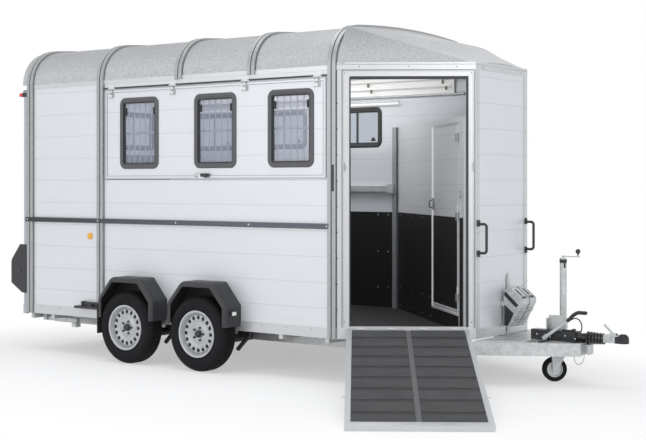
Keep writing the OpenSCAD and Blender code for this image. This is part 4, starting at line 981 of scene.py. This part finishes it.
def doorway():
    """Profiles, seals and latches round the side doorway."""
    s = Shape(Matrix.Translation(on_corner(0, 0, 0)) @ Matrix(((CORNER_U.x, CORNER_N.x, 0, 0), (CORNER_U.y, CORNER_N.y, 0, 0), (0, 0, 1, 0), (0, 0, 0, 1))))
    # y points outwards here, so the frame is left-handed and Shape turns the faces over
    s.box(0.0990, 0.1035, 0.0, 0.0095, 0.461, 2.470)
    s.box(1.0365, 1.0560, 0.0, 0.0095, 0.461, 2.4800)
    s.box(0.1035, 1.0365, 0.0, 0.0095, 2.4550, 2.4800)
    s.box(0.1035, 0.1085, -0.029, 0.004, 0.461, 2.4560)
    s.box(-0.0430, -0.0250, 0.0, 0.0060, 1.552, 1.768, 0.002)
    s.make("doorway_seal", "black_plastic")

    g = Shape(s.local)
    for u0, u1 in ((0.0365, 0.0400), (1.1035, 1.1070)):
        g.box(u0, u1, -0.001, 0.0066, 0.456, 2.5320)
    g.box(0.0365, 1.1070, -0.001, 0.0066, 2.5290, 2.5320)
    g.box(-0.0255, -0.0225, -0.001, 0.0066, 0.362, 2.5400)
    g.box(0.0975, 0.1000, -0.001, 0.0100, 0.461, 2.4800)
    g.make("doorway_lines", "axle_steel", slot="frame_profile")

    w = Shape(s.local)
    for u0, u1 in ((0.047, 0.052), (0.0925, 0.0975), (1.0625, 1.0675), (1.0885, 1.0935)):
        w.box(u0, u1, 0.0, 0.0105, 0.462, 2.500, 0.001)
    w.box(0.050, 1.090, 0.0, 0.0105, 2.516, 2.522, 0.001)
    w.box(0.030, 0.043, 0.0, 0.0045, 0.450, 2.530, 0.001)
    w.box(-0.022, -0.016, 0.0, 0.0045, 0.362, 2.530, 0.001)
    w.box(1.1000, 1.1085, 0.0, 0.0050, 0.362, 2.530, 0.001)
    w.make("doorway_profiles", "frame_profile")

    h = Shape(s.local)
    for u in (0.059, 1.089):
        h.box(u - 0.010, u + 0.012, 0.002, 0.0085, 1.712, 1.786, 0.003)
        h.box(u - 0.006, u + 0.020, 0.004, 0.0100, 1.735, 1.752, 0.003)
        h.tube([(u + 0.001, 0.0055, 1.722), (u + 0.001, 0.0055, 1.778)], 0.0045, 10)
    h.make("doorway_latches", "bow_profile", slot="galvanised")


def hood_trim():
    s = Shape()
    out, z0, z1 = 0.0075, 2.552, 2.600
    foot = [Vector((-0.912, -HALF_W, 0)), Vector((0.0, -HALF_W + CORNER[1], 0)), Vector((0.0, HALF_W - CORNER[1], 0)), Vector((-0.912, HALF_W, 0))]
    for a, b in zip(foot, foot[1:]):
        along = (b - a).normalized()
        n = Vector((along.y, -along.x, 0))
        m = Matrix(((along.x, n.x, 0, a.x), (along.y, n.y, 0, a.y), (0, 0, 1, 0), (0, 0, 0, 1)))
        s.local = Matrix.Translation(-BALL) @ m
        length = (b - a).length
        s.box(-0.002, length + 0.002, -0.004, out, 2.5745, z1 - 0.004, 0.003)
    s.make("hood_foot", "frame_profile")


# Inside


def on_screen():
    p = Vector((-1.710, 1.045))
    q = Vector((-0.075, -0.455))
    d = (q - p).normalized()
    return Matrix.Translation(at(p.x, p.y, 0)) @ Matrix(((d.x, -d.y, 0, 0), (d.y, d.x, 0, 0), (0, 0, 1, 0), (0, 0, 0, 1)))


def inside():
    lining = Shape()
    low = roof_line(-0.0235)
    verts = [(x, y, z) for x in (-4.545, -0.960) for y, z in low]
    n = len(low)
    lining.add(verts, [[i, i + 1, n + i + 1, n + i] for i in range(n - 1)])
    lining.make("ceiling_lining", "inner_panel")

    # The white strips glow faintly: painted light.
    rails = Shape()
    rails.box(-4.560, -1.080, 1.030, 1.046, 2.472, 2.640)
    rails.box(-4.560, -1.106, 1.006, 1.032, 2.534, 2.562, 0.003)
    rails.box(-4.560, -1.137, 1.000, 1.032, 2.606, 2.632, 0.003)
    rails.box(-4.400, -1.690, 1.006, 1.046, 2.382, 2.404, 0.003)
    # The grey strips that follow are painted shadow lines: the shaded foot of the cove, the lines under the two upper
    # rails and over the lower one, and the line at the panel's front end.
    rails.mark = 1
    rails.box(-4.560, -0.965, 1.018, 1.046, 2.452, 2.472, 0.003)
    rails.box(-4.560, -1.106, 1.010, 1.032, 2.526, 2.534)
    rails.box(-4.560, -1.137, 1.004, 1.032, 2.598, 2.606)
    rails.box(-4.400, -1.700, 1.012, 1.046, 2.404, 2.412)
    rails.box(-1.080, -1.074, 1.026, 1.046, 2.472, 2.640)
    rails.mark = 2
    for x in (-4.30, -3.55, -2.80, -2.047, -1.188):
        rails.box(x - 0.012, x + 0.012, 1.002, 1.008, 2.560, 2.600, 0.001)
        rails.box(x + 0.026, x + 0.050, 0.999, 1.006, 2.500, 2.535, 0.001)
    rails.make("ceiling_edge", ["glow_painted_white", "galvanised", "khaki_clip"], slot="inner_panel")

    s = Shape(on_screen())
    s0, w, t = 1.260, 0.790, 0.013
    z0, z1 = 0.530, 2.109
    s.box(s0, s0 + w, -t, t, z0, z1)
    # The white strip along the leaf's edge glows faintly: painted light.
    s.mark = 1
    s.box(s0 - 0.001, s0 + 0.034, -t - 0.008, t + 0.002, z0, z1, 0.002)
    s.mark = 0
    s.box(s0 + w - 0.010, s0 + w + 0.001, -t - 0.008, t + 0.002, z0, z1, 0.002)
    s.box(s0, s0 + w, -t - 0.005, -t, z1 - 0.010, z1 + 0.001, 0.002)
    s.box(s0, s0 + w, -t - 0.010, -t, z0, z0 + 0.022, 0.002)
    s.box(s0 + 0.016, s0 + w - 0.016, -t - 0.007, -t, z0 + 0.034, z0 + 0.050, 0.002)
    s.mark = 2
    s.box(s0 + 0.016, s0 + w - 0.016, -t - 0.003, -t, z0 + 0.050, 1.337)
    s.mark = 4
    s.box(s0 + w - 0.0150, s0 + w - 0.010, -t - 0.0085, -t, z0, z1)
    s.mark = 5
    s.box(s0 + 0.030, s0 + 0.062, -t - 0.012, -t, 1.385, 1.490, 0.003)
    s.mark = 3
    s.tube([(s0 + 0.046, -t - 0.010, 1.400), (s0 + 0.046, -t - 0.040, 1.412), (s0 + 0.046, -t - 0.040, 1.462), (s0 + 0.046, -t - 0.010, 1.475)], 0.005, 10)
    s.mark = 5
    for z in (0.640, 1.310, 1.960):
        s.box(s0 + w - 0.060, s0 + w - 0.004, -t - 0.011, -t - 0.002, z + 0.002, z + 0.066, 0.002)
        s.tube([(s0 + w + 0.003, -0.022, z + 0.001), (s0 + w + 0.003, -0.022, z + 0.069)], 0.0075, 12)
    keep = s.local
    s.mark = 0
    s.make("inner_door_leaf", ["inner_panel", "glow_painted_white", "kick_black", "axle_steel", "seam_shadow", "bow_profile"], "inner_door", "inner_panel", replaces=("inner_door",))

    sill = Shape(on_screen())
    sill.box(s0 - 0.004, s0 + w + 0.004, -t - 0.004, -t + 0.001, 0.400, z0 - 0.004)
    sill.make("kick_board_under_door", "kick_black", slot="black_plastic")

    k = Shape()
    places = []
    for x in (-2.95, -2.45, -1.95, -1.83):
        places += [(at(x, HALF_W - 0.038, z), (0, -1, 0)) for z in (1.310, 0.95, 0.60)]
    for a in (0.14, 0.55, 0.95, 1.21):
        p = keep @ Vector((a, -t - 0.0085, 0))
        places += [((p.x, p.y, z - BALL.z), keep.to_3x3() @ Vector((0, -1, 0))) for z in (1.312, 0.62, 0.45)]
    k.studs(places, 0.0065, 0.0025, 10)
    post = [(at(-1.738, 1.0005, 0.50 + 0.16 * i), (0, -1, 0)) for i in range(10)]
    k.studs(post, 0.005, 0.002, 8)
    k.box(-1.80, -1.735, 0.960, 1.000, 1.515, 1.612, 0.004)
    k.make("inside_screws", "galvanised")

    r = Shape(keep @ Matrix.Translation((2.130, -t - 0.004, 1.560)))
    r.tube([(0.028 * math.cos(a), -0.006, -0.030 + 0.028 * math.sin(a)) for a in (2 * math.pi * i / 24 for i in range(24))], 0.0035, 8, closed=True)
    r.box(-0.014, 0.014, -0.006, 0.004, -0.014, 0.018, 0.003)
    r.make("tether_ring", "galvanised")


# Towing gear


def recolour(node, finishes, pick):
    """Gives a solid several finishes. pick names one from the middle of a face, in the trailer's measures."""
    mesh = NODES[node].data
    mesh.materials.clear()
    for f in finishes:
        mesh.materials.append(MATERIALS[f])
    mesh.polygons.foreach_set("material_index", [finishes.index(pick(p.center + BALL)) for p in mesh.polygons])


def recolour_solids():
    recolour("coupling_head", ["galvanised", "black_steel"], lambda p: "black_steel" if p.x > 1.022 and p.z < 0.44 else "galvanised")
    recolour("jockey_crank", ["galvanised", "black_plastic"], lambda p: "black_plastic" if p.z > 1.040 else "galvanised")
    recolour("roof_bows", ["bow_profile"], lambda p: "bow_profile")
    recolour("left_window_glass", ["tinted_glass"], lambda p: "tinted_glass")
    recolour("bellows", ["gloss_rubber"], lambda p: "gloss_rubber")
    recolour("kick_boards", ["kick_black"], lambda p: "kick_black")
    recolour("floor_mat", ["dark_rubber"], lambda p: "dark_rubber")
    recolour("breast_rail", ["galvanised", "bow_profile"], lambda p: "bow_profile" if p.x > -1.80 else "galvanised")


def lever():
    s = Shape(Matrix.Translation(at(0.430, -0.077, 0.372)) @ Matrix.Rotation(math.radians(-36), 4, "Y"))
    s.box(-0.004, 0.262, 0.0, 0.014, -0.014, 0.014, 0.003)
    s.box(-0.020, 0.030, -0.003, 0.017, -0.018, 0.018, 0.004)
    s.local = Matrix.Translation(-BALL)
    s.tube([(0.430, -0.083, 0.372), (0.430, -0.058, 0.372)], 0.012, 12)
    s.mark = 1
    grip = curved([(0.628, -0.070, 0.517), (0.650, -0.070, 0.533), (0.682, -0.070, 0.565), (0.722, -0.070, 0.588), (0.765, -0.070, 0.590), (0.802, -0.070, 0.590)], 5)
    n = len(grip)
    radii = [0.0145 + (0.0015 if k % 3 == 1 and 4 < k < n - 3 else 0.0) for k in range(n)]
    radii[0], radii[-1] = 0.012, 0.009
    s.tube(grip, radii, 16)
    s.make("brake_lever", ["galvanised", "dark_rubber"], replaces=("handbrake_lever",))


def towing_details():
    bolts = Shape()
    places = [(at(x, s * 0.054, 0.3775), (0, 0, 1)) for x in (0.470, 0.690) for s in (-1, 1)]
    places += [(at(x, -0.0465, z), (0, -1, 0)) for x, z in ((0.350, 0.395), (0.600, 0.395))]
    places += [(at(x, -0.0345, z), (0, -1, 0)) for x, z in ((0.940, 0.418), (0.940, 0.385), (0.985, 0.402))]
    places += [(at(x, 0.084 - 0.0005, z), (0, -1, 0)) for x in (0.462, 0.496) for z in (0.412, 0.462, 0.512)]
    places += [(at(0.335, y, 0.4325), (0, 0, 1)) for y in (-0.024, 0.024)]
    bolts.studs(places, 0.0085, 0.006, 6)
    for x in (0.318, 0.352, 0.386):
        bolts.box(x, x + 0.020, -0.030, 0.030, 0.4310, 0.4345, 0.001)
    bolts.make("towing_bolts", "galvanised")

    s = Shape()
    s.box(0.500, 0.560, -0.048, -0.0455, 0.378, 0.418, 0.001)
    s.box(0.640, 0.668, -0.016, 0.016, 0.430, 0.4505, 0.004)
    s.tube([(0.560, -0.020, 0.436), (0.672, -0.020, 0.436)], 0.008, 10)
    s.make("housing_cap", "black_steel")

    slot = Shape(Matrix.Translation(at(0.490, 0.142, 0.955)) @ Matrix.Rotation(math.radians(-40), 4, "Z"))
    slot.box(0.0270, 0.0288, -0.008, 0.008, -0.026, 0.026, 0.0005)
    slot.local = Matrix.Translation(at(0.490, 0.142, 0))
    slot.lathe([(0.0283, 0.996), (0.0300, 0.9965), (0.0300, 0.9685), (0.0283, 0.968)], 24)
    slot.make("mast_collar", "black_steel")

    bracket = Shape()
    bracket.box(0.392, 0.520, 0.078, 0.0845, 0.386, 0.541, 0.004)
    bracket.box(0.392, 0.398, 0.030, 0.080, 0.386, 0.520, 0.002)
    bracket.box(0.766, 0.800, -0.050, 0.050, 0.330, 0.3365, 0.001)
    bracket.box(0.795, 0.800, -0.050, 0.050, 0.256, 0.334, 0.001)
    bracket.make("mast_and_cable_brackets", "galvanised")


def chock_details():
    dark, light = Shape(), Shape()
    for y in (-0.020, 0.110):
        dark.local = light.local = Matrix.Translation(at(0.028, y, 0.430))
        side = dark.local @ Matrix.Rotation(math.pi / 2, 4, "X")
        slope = dark.local @ Matrix.Translation((0.052, 0, 0.330)) @ Matrix.Rotation(math.radians(38.3), 4, "Y")
        dark.local = side
        # The black shapes on the sides and slope stand for the chock's holes: painted shade seen through them.
        dark.prism([(0.006, 0.258), (0.112, 0.165), (0.140, 0.184), (0.008, 0.300)], -0.001, 0.0016)
        dark.prism([(0.006, 0.010), (0.038, 0.006), (0.074, 0.068), (0.094, 0.118), (0.006, 0.190)], -0.001, 0.0016)
        light.local = side
        light.prism([(0.002, 0.190), (0.096, 0.116), (0.118, 0.160), (0.002, 0.262)], -0.001, 0.0050, 0.001)
        light.prism([(0.000, 0.298), (0.050, 0.328), (0.060, 0.322), (0.009, 0.286)], -0.001, 0.0040, 0.001)
        dark.local = slope
        dark.box(0.034, 0.112, 0.040, 0.066, -0.001, 0.0016)
        dark.box(0.124, 0.150, 0.020, 0.090, -0.001, 0.0012)
        light.local = slope
        for a, b in ((0.0, 0.007), (0.103, 0.110)):
            light.box(0.004, 0.156, a, b, -0.002, 0.0045, 0.001)
        light.box(0.004, 0.012, 0.0, 0.110, -0.002, 0.0045, 0.001)
        # The tread side has cross ribs that follow its hollow
        light.local = Matrix.Translation(at(0.028, y, 0.430))
        for k in range(7):
            a = math.radians(128 + 8.3 * k)
            x, z = 0.250 + 0.150 * math.cos(a), 0.020 + 0.150 * math.sin(a)
            if 0.066 < x and z > 0.004 and z < 0.19:
                light.tube([(x, 0.004, z), (x, 0.106, z)], 0.0042, 8)
        keep = light.local
        light.studs([(keep @ Vector(p), (0.62, 0, 0.78)) for p in [(0.150, 0.010, 0.2535), (0.150, 0.100, 0.2535), (0.070, 0.016, 0.3165), (0.070, 0.094, 0.3165)]], 0.0055, 0.003, 10)
        light.studs([(keep @ Vector((x, -0.001, z)), (0, -1, 0)) for x, z in ((0.160, 0.214), (0.150, 0.190), (0.052, 0.020), (0.084, 0.066), (0.012, 0.296))], 0.0050, 0.003, 10)
    dark.make("chock_hole_shade", "black_steel")
    light.make("chock_folds", "galvanised")
    s = Shape()
    s.box(0.006, 0.0125, 0.070, 0.110, 0.366, 0.430, 0.001)
    s.tube([(0.012, 0.216, 0.690), (0.055, 0.222, 0.742), (0.120, 0.226, 0.800)], 0.003, 8)
    s.make("chock_clip", "galvanised")


def loop_cord(name, points, radius, material):
    path = curved(points, 8)
    s = Shape()
    s.tube(path, radius, 10)
    piece = s.make(name, material, slot="black_plastic")


def cables():
    loop_cord("brake_cable", [(0.655, -0.066, 0.524), (0.668, -0.066, 0.533), (0.700, -0.064, 0.543), (0.728, -0.058, 0.530),
                              (0.746, -0.052, 0.496), (0.744, -0.046, 0.456), (0.728, -0.040, 0.425)], 0.005, "dark_rubber")
    loop_cord("breakaway_cable", [(0.676, -0.044, 0.262), (0.678, -0.046, 0.225), (0.690, -0.048, 0.192), (0.718, -0.050, 0.176),
                                  (0.748, -0.050, 0.190), (0.763, -0.048, 0.222), (0.768, -0.046, 0.262)], 0.0035, "galvanised")


# Lamps


def lamps_and_lenses():
    """Rear lamp units, whose rear faces hold the lenses, and the marker lamps' lenses."""
    rear = PORTAL_X - 0.230
    outline = [(PORTAL_X, 0.545), (PORTAL_X, 1.020), (PORTAL_X - 0.100, 1.020), (PORTAL_X - 0.213, 0.880),
               (rear + 0.004, 0.850), (rear + 0.004, 0.640), (PORTAL_X - 0.070, 0.548)]
    unit = Shape()
    for side in (-1, 1):
        y0, y1 = sorted((side * 0.972, side * 1.083))
        unit.local = Matrix.Translation(-BALL) @ Matrix.Rotation(math.pi / 2, 4, "X")
        unit.mark = 0
        unit.prism(outline, -y1, -y0, 0.006)
        unit.local = Matrix.Translation(-BALL)
        for mark, z0, z1 in ((2, 0.772, 0.842), (1, 0.708, 0.766), (3, 0.648, 0.702)):
            unit.mark = mark
            unit.box(rear + 0.0002, rear + 0.006, y0 + 0.012, y1 - 0.012, z0, z1, 0.003)
        unit.mark = 0
        face = side * 1.083
        unit.studs([(at(PORTAL_X - 0.085, face, 0.770), (0, side, 0))], 0.020, 0.008, 16)
        unit.studs([(at(PORTAL_X - 0.105, face, z), (0, side, 0)) for z in (0.672, 0.828)], 0.006, 0.003, 8)
        unit.box(PORTAL_X - 0.030, PORTAL_X - 0.002, face - 0.004, face + 0.004, 0.560, 1.010, 0.003)
    unit.make("tail_lamp_units", ["black_plastic", "amber_lens", "red_lens", "clear_lens"], replaces=("tail_lamps",))
    s = Shape()
    for side in (-1, 1):
        y0, y1 = sorted((side * 1.028, side * 1.078))
        s.mark = 2
        s.box(PORTAL_X - 0.066, PORTAL_X - 0.001, y0, y1, 2.462, 2.506, 0.004)
        s.mark = 0
        s.box(PORTAL_X - 0.112, PORTAL_X - 0.066, y0, y1, 2.465, 2.502, 0.006)
        s.mark = 1
        y0, y1 = sorted((side * 1.169, side * 1.221))
        s.box(WHEEL_X[0] + 0.3685, WHEEL_X[0] + 0.3725, y0, y1, 0.500, 0.530, 0.002)
    s.make("marker_lenses", ["red_lens", "clear_lens", "black_plastic"], slot="black_plastic")


RIM_HOLES = 16
RIM_PROFILE = [(0.2025, 0.0785), (0.2025, 0.0850), (0.2005, 0.0865), (0.1905, 0.0865), (0.1860, 0.0845), (0.1815, 0.0745),
               (0.1770, 0.0420), (0.1735, 0.0375), (0.1685, 0.0370), (0.1655, 0.0420), (0.1635, 0.0520), (0.1600, 0.0555),
               (0.1550, 0.0562), (0.1270, 0.0562), (0.1215, 0.0548), (0.1130, 0.0450), (0.1060, 0.0405), (0.0940, 0.0395),
               (0.0860, 0.0430), (0.0790, 0.0490), (0.0730, 0.0510), (0.0440, 0.0510), (0.0380, 0.0480), (0.0305, 0.0470),
               (0.0305, 0.0305), (0.1000, 0.0305), (0.1150, 0.0400), (0.1500, 0.0440), (0.1620, 0.0240), (0.1705, 0.0185),
               (0.1705, -0.0745), (0.1820, -0.0785), (0.1905, -0.0785), (0.1905, 0.0785)]


def under_the_body():
    """Wheel arch liners, axle struts, black discs painted as the shade in the rim holes, and the portal's edges."""
    s = Shape()
    arch = [(-0.3435, 0.395), (0.3435, 0.395), (0.3435, 0.578), (0.179, 0.7705), (-0.179, 0.7705), (-0.3435, 0.578)]
    for side in (-1, 1):
        for x in WHEEL_X:
            s.local = Matrix.Translation(at(x, side * 1.0765, 0)) @ Matrix.Rotation(math.pi / 2, 4, "X")
            s.prism(arch, -0.0012, 0.0012)
            s.local = Matrix.Translation(at(x, side * 0.915, 0))
            s.tube([(0.330, 0.0, 0.330), (0.172, 0.0, 0.172)], 0.019, 10)
            s.box(0.180, 0.345, -0.012, 0.012, 0.300, 0.357, 0.003)
    s.make("arch_liners_and_struts", "dark_rubber", slot="black_steel")
    b = Shape()
    b.studs([(at(x + 0.322, side * 0.928, 0.322), (0, side, 0)) for x in WHEEL_X for side in (-1, 1)], 0.011, 0.006, 6)
    b.make("strut_bolts", "galvanised")
    for where, side, local in wheel_rows():
        r = Shape(local)
        r.lathe(RIM_PROFILE, 72, closed=True)
        r.make("rim_shell_" + where, "wheel_silver", "wheel_" + where, replaces=("rim_" + where,))
        # Black discs over the rim's holes: painted shade, standing for the dark inside of the wheel seen through them.
        h = Shape(local)
        for i in range(RIM_HOLES):
            a = 2 * math.pi * i / RIM_HOLES
            h.local = local @ Matrix.Translation((0.141 * math.cos(a), 0.141 * math.sin(a), 0.0))
            h.lathe([(0.0, 0.0550), (0.0168, 0.0550), (0.0176, 0.0560), (0.0168, 0.0566), (0.0, 0.0564)], 16)
        h.make("rim_hole_shade_" + where, "kick_black", "wheel_" + where, "black_plastic")
    e = Shape()
    for side in (-1, 1):
        y0, y1 = sorted((side * (HALF_W - 0.030), side * (HALF_W - 0.002)))
        e.box(PORTAL_X - 0.046, PORTAL_X - 0.0005, y0, y1, 0.345, 2.520, 0.003)
        e.box(PORTAL_X - 0.052, PORTAL_X - 0.0005, *sorted((side * (HALF_W - 0.034), side * (HALF_W + 0.001))), 0.345, 0.440, 0.003)
    e.make("portal_edges", "portal_blue", slot="frame_profile")


# Stage


def white_for_lens(tree, shade):
    """Gives 1 for the rays that see plain white: camera, glossy and transmission rays."""
    nodes, links = tree.nodes, tree.links
    path = nodes.new("ShaderNodeLightPath")
    total = nodes.new("ShaderNodeMath")
    total.operation = "MAXIMUM"
    links.new(path.outputs["Is Camera Ray"], total.inputs[0])
    both = nodes.new("ShaderNodeMath")
    both.operation = "MAXIMUM"
    links.new(path.outputs["Is Glossy Ray"], both.inputs[0])
    links.new(path.outputs["Is Transmission Ray"], both.inputs[1])
    links.new(both.outputs[0], total.inputs[1])
    return total.outputs[0]


def make_world():
    world = bpy.data.worlds.new("studio")
    bpy.context.scene.world = world
    world.use_nodes = True
    tree = world.node_tree
    plain = tree.nodes["Background"]
    plain.inputs["Color"].default_value = (0.95, 0.97, 1.0, 1.0)
    plain.inputs["Strength"].default_value = 0.55
    white = tree.nodes.new("ShaderNodeBackground")
    white.inputs["Color"].default_value = (1.0, 1.0, 1.0, 1.0)
    white.inputs["Strength"].default_value = 1.0
    mix = tree.nodes.new("ShaderNodeMixShader")
    tree.links.new(white_for_lens(tree, plain), mix.inputs["Fac"])
    tree.links.new(plain.outputs[0], mix.inputs[1])
    tree.links.new(white.outputs[0], mix.inputs[2])
    tree.links.new(mix.outputs[0], tree.nodes["World Output"].inputs["Surface"])


FLOOR_HALF = 60.0
# Half lengths of the ellipse round the trailer where the floor shows its shadow, and the white mixed in there
FLOOR_HELD = (3.15, 2.0)
FLOOR_GLOW = 0.44


def make_floor():
    mesh = bpy.data.meshes.new("floor")
    z = -BALL.z
    corners = [(-1, -1), (1, -1), (1, 1), (-1, 1)]
    mesh.from_pydata([(sx * FLOOR_HALF, sy * FLOOR_HALF, z) for sx, sy in corners], [], [(0, 1, 2, 3)])
    floor = bpy.data.objects.new("floor", mesh)
    bpy.context.scene.collection.objects.link(floor)
    t = Tree("floor")
    reach = t.node("ShaderNodeVectorMath", operation="LENGTH")
    t.put(reach.inputs[0], t.stretched((1 / FLOOR_HELD[0], 1 / FLOOR_HELD[1], 0.0), (2.975 / FLOOR_HELD[0], 0.6 / FLOOR_HELD[1], 0.0)))
    far = t.spread(reach.outputs["Value"], FLOOR_GLOW, 1.0, 1.0, 1.5)
    t.finish((1.0, 1.0, 1.0, 1.0), 0.9, 0.0, None, Specular_IOR_Level=0.0)
    glow = t.node("ShaderNodeEmission", Color=(1.0, 1.0, 1.0, 1.0), Strength=1.0)
    mix = t.node("ShaderNodeMixShader")
    lens = white_for_lens(t.material.node_tree, None)
    t.put(mix.inputs["Fac"], t.math("MULTIPLY", lens, far))
    t.put(mix.inputs[1], t.shader.outputs[0])
    t.put(mix.inputs[2], glow.outputs[0])
    t.put(t.nodes["Material Output"].inputs["Surface"], mix.outputs[0])
    mesh.materials.append(t.material)


def lamp(name, place, target, size, power, color=(1.0, 1.0, 1.0)):
    light = bpy.data.lights.new(name, "AREA")
    light.shape = "RECTANGLE"
    light.size, light.size_y = size
    light.energy = power
    light.color = color
    o = bpy.data.objects.new(name, light)
    o.location = at(*place)
    o.rotation_euler = (at(*target) - o.location).to_track_quat("-Z", "Y").to_euler()
    o.visible_camera = False
    bpy.context.scene.collection.objects.link(o)


def make_lamps():
    lamp("top", (-2.0, -1.0, 9.0), (-2.0, -0.5, 0.0), (9.0, 7.0), 300.0)
    lamp("front", (8.0, -7.0, 4.0), (-1.0, 0.0, 1.2), (5.0, 4.0), 205.0)
    lamp("side", (-5.0, -10.0, 3.5), (-2.5, 0.0, 1.3), (7.0, 4.0), 130.0)
    lamp("inside_down", (-2.7, 0.1, 2.80), (-2.7, 0.1, 0.4), (2.8, 1.0), 26.0)
    lamp("inside_up", (-2.9, 0.2, 1.90), (-2.9, 0.2, 3.0), (2.2, 0.9), 9.0)


def make_camera():
    data = bpy.data.cameras.new("camera")
    data.sensor_width = 36.0
    data.lens = LENS
    data.shift_y = SHIFT_UP
    data.clip_end = 200.0
    camera = bpy.data.objects.new("camera", data)
    camera.location = CAMERA_AT - BALL
    camera.rotation_euler = (math.pi / 2, 0.0, CAMERA_TURN)
    bpy.context.scene.collection.objects.link(camera)
    bpy.context.scene.camera = camera


make_camera()
make_materials()
dress_nodes()
make_world()
make_floor()
make_lamps()
for build in (tyres, fenders, flap_windows, other_windows, hood, ramp_sheets, body_trim, flap_hardware, doorway,
              hood_trim, inside, recolour_solids, lever, towing_details, chock_details, cables, lamps_and_lenses, under_the_body):
    build()

bpy.context.scene.view_settings.view_transform = "Standard"
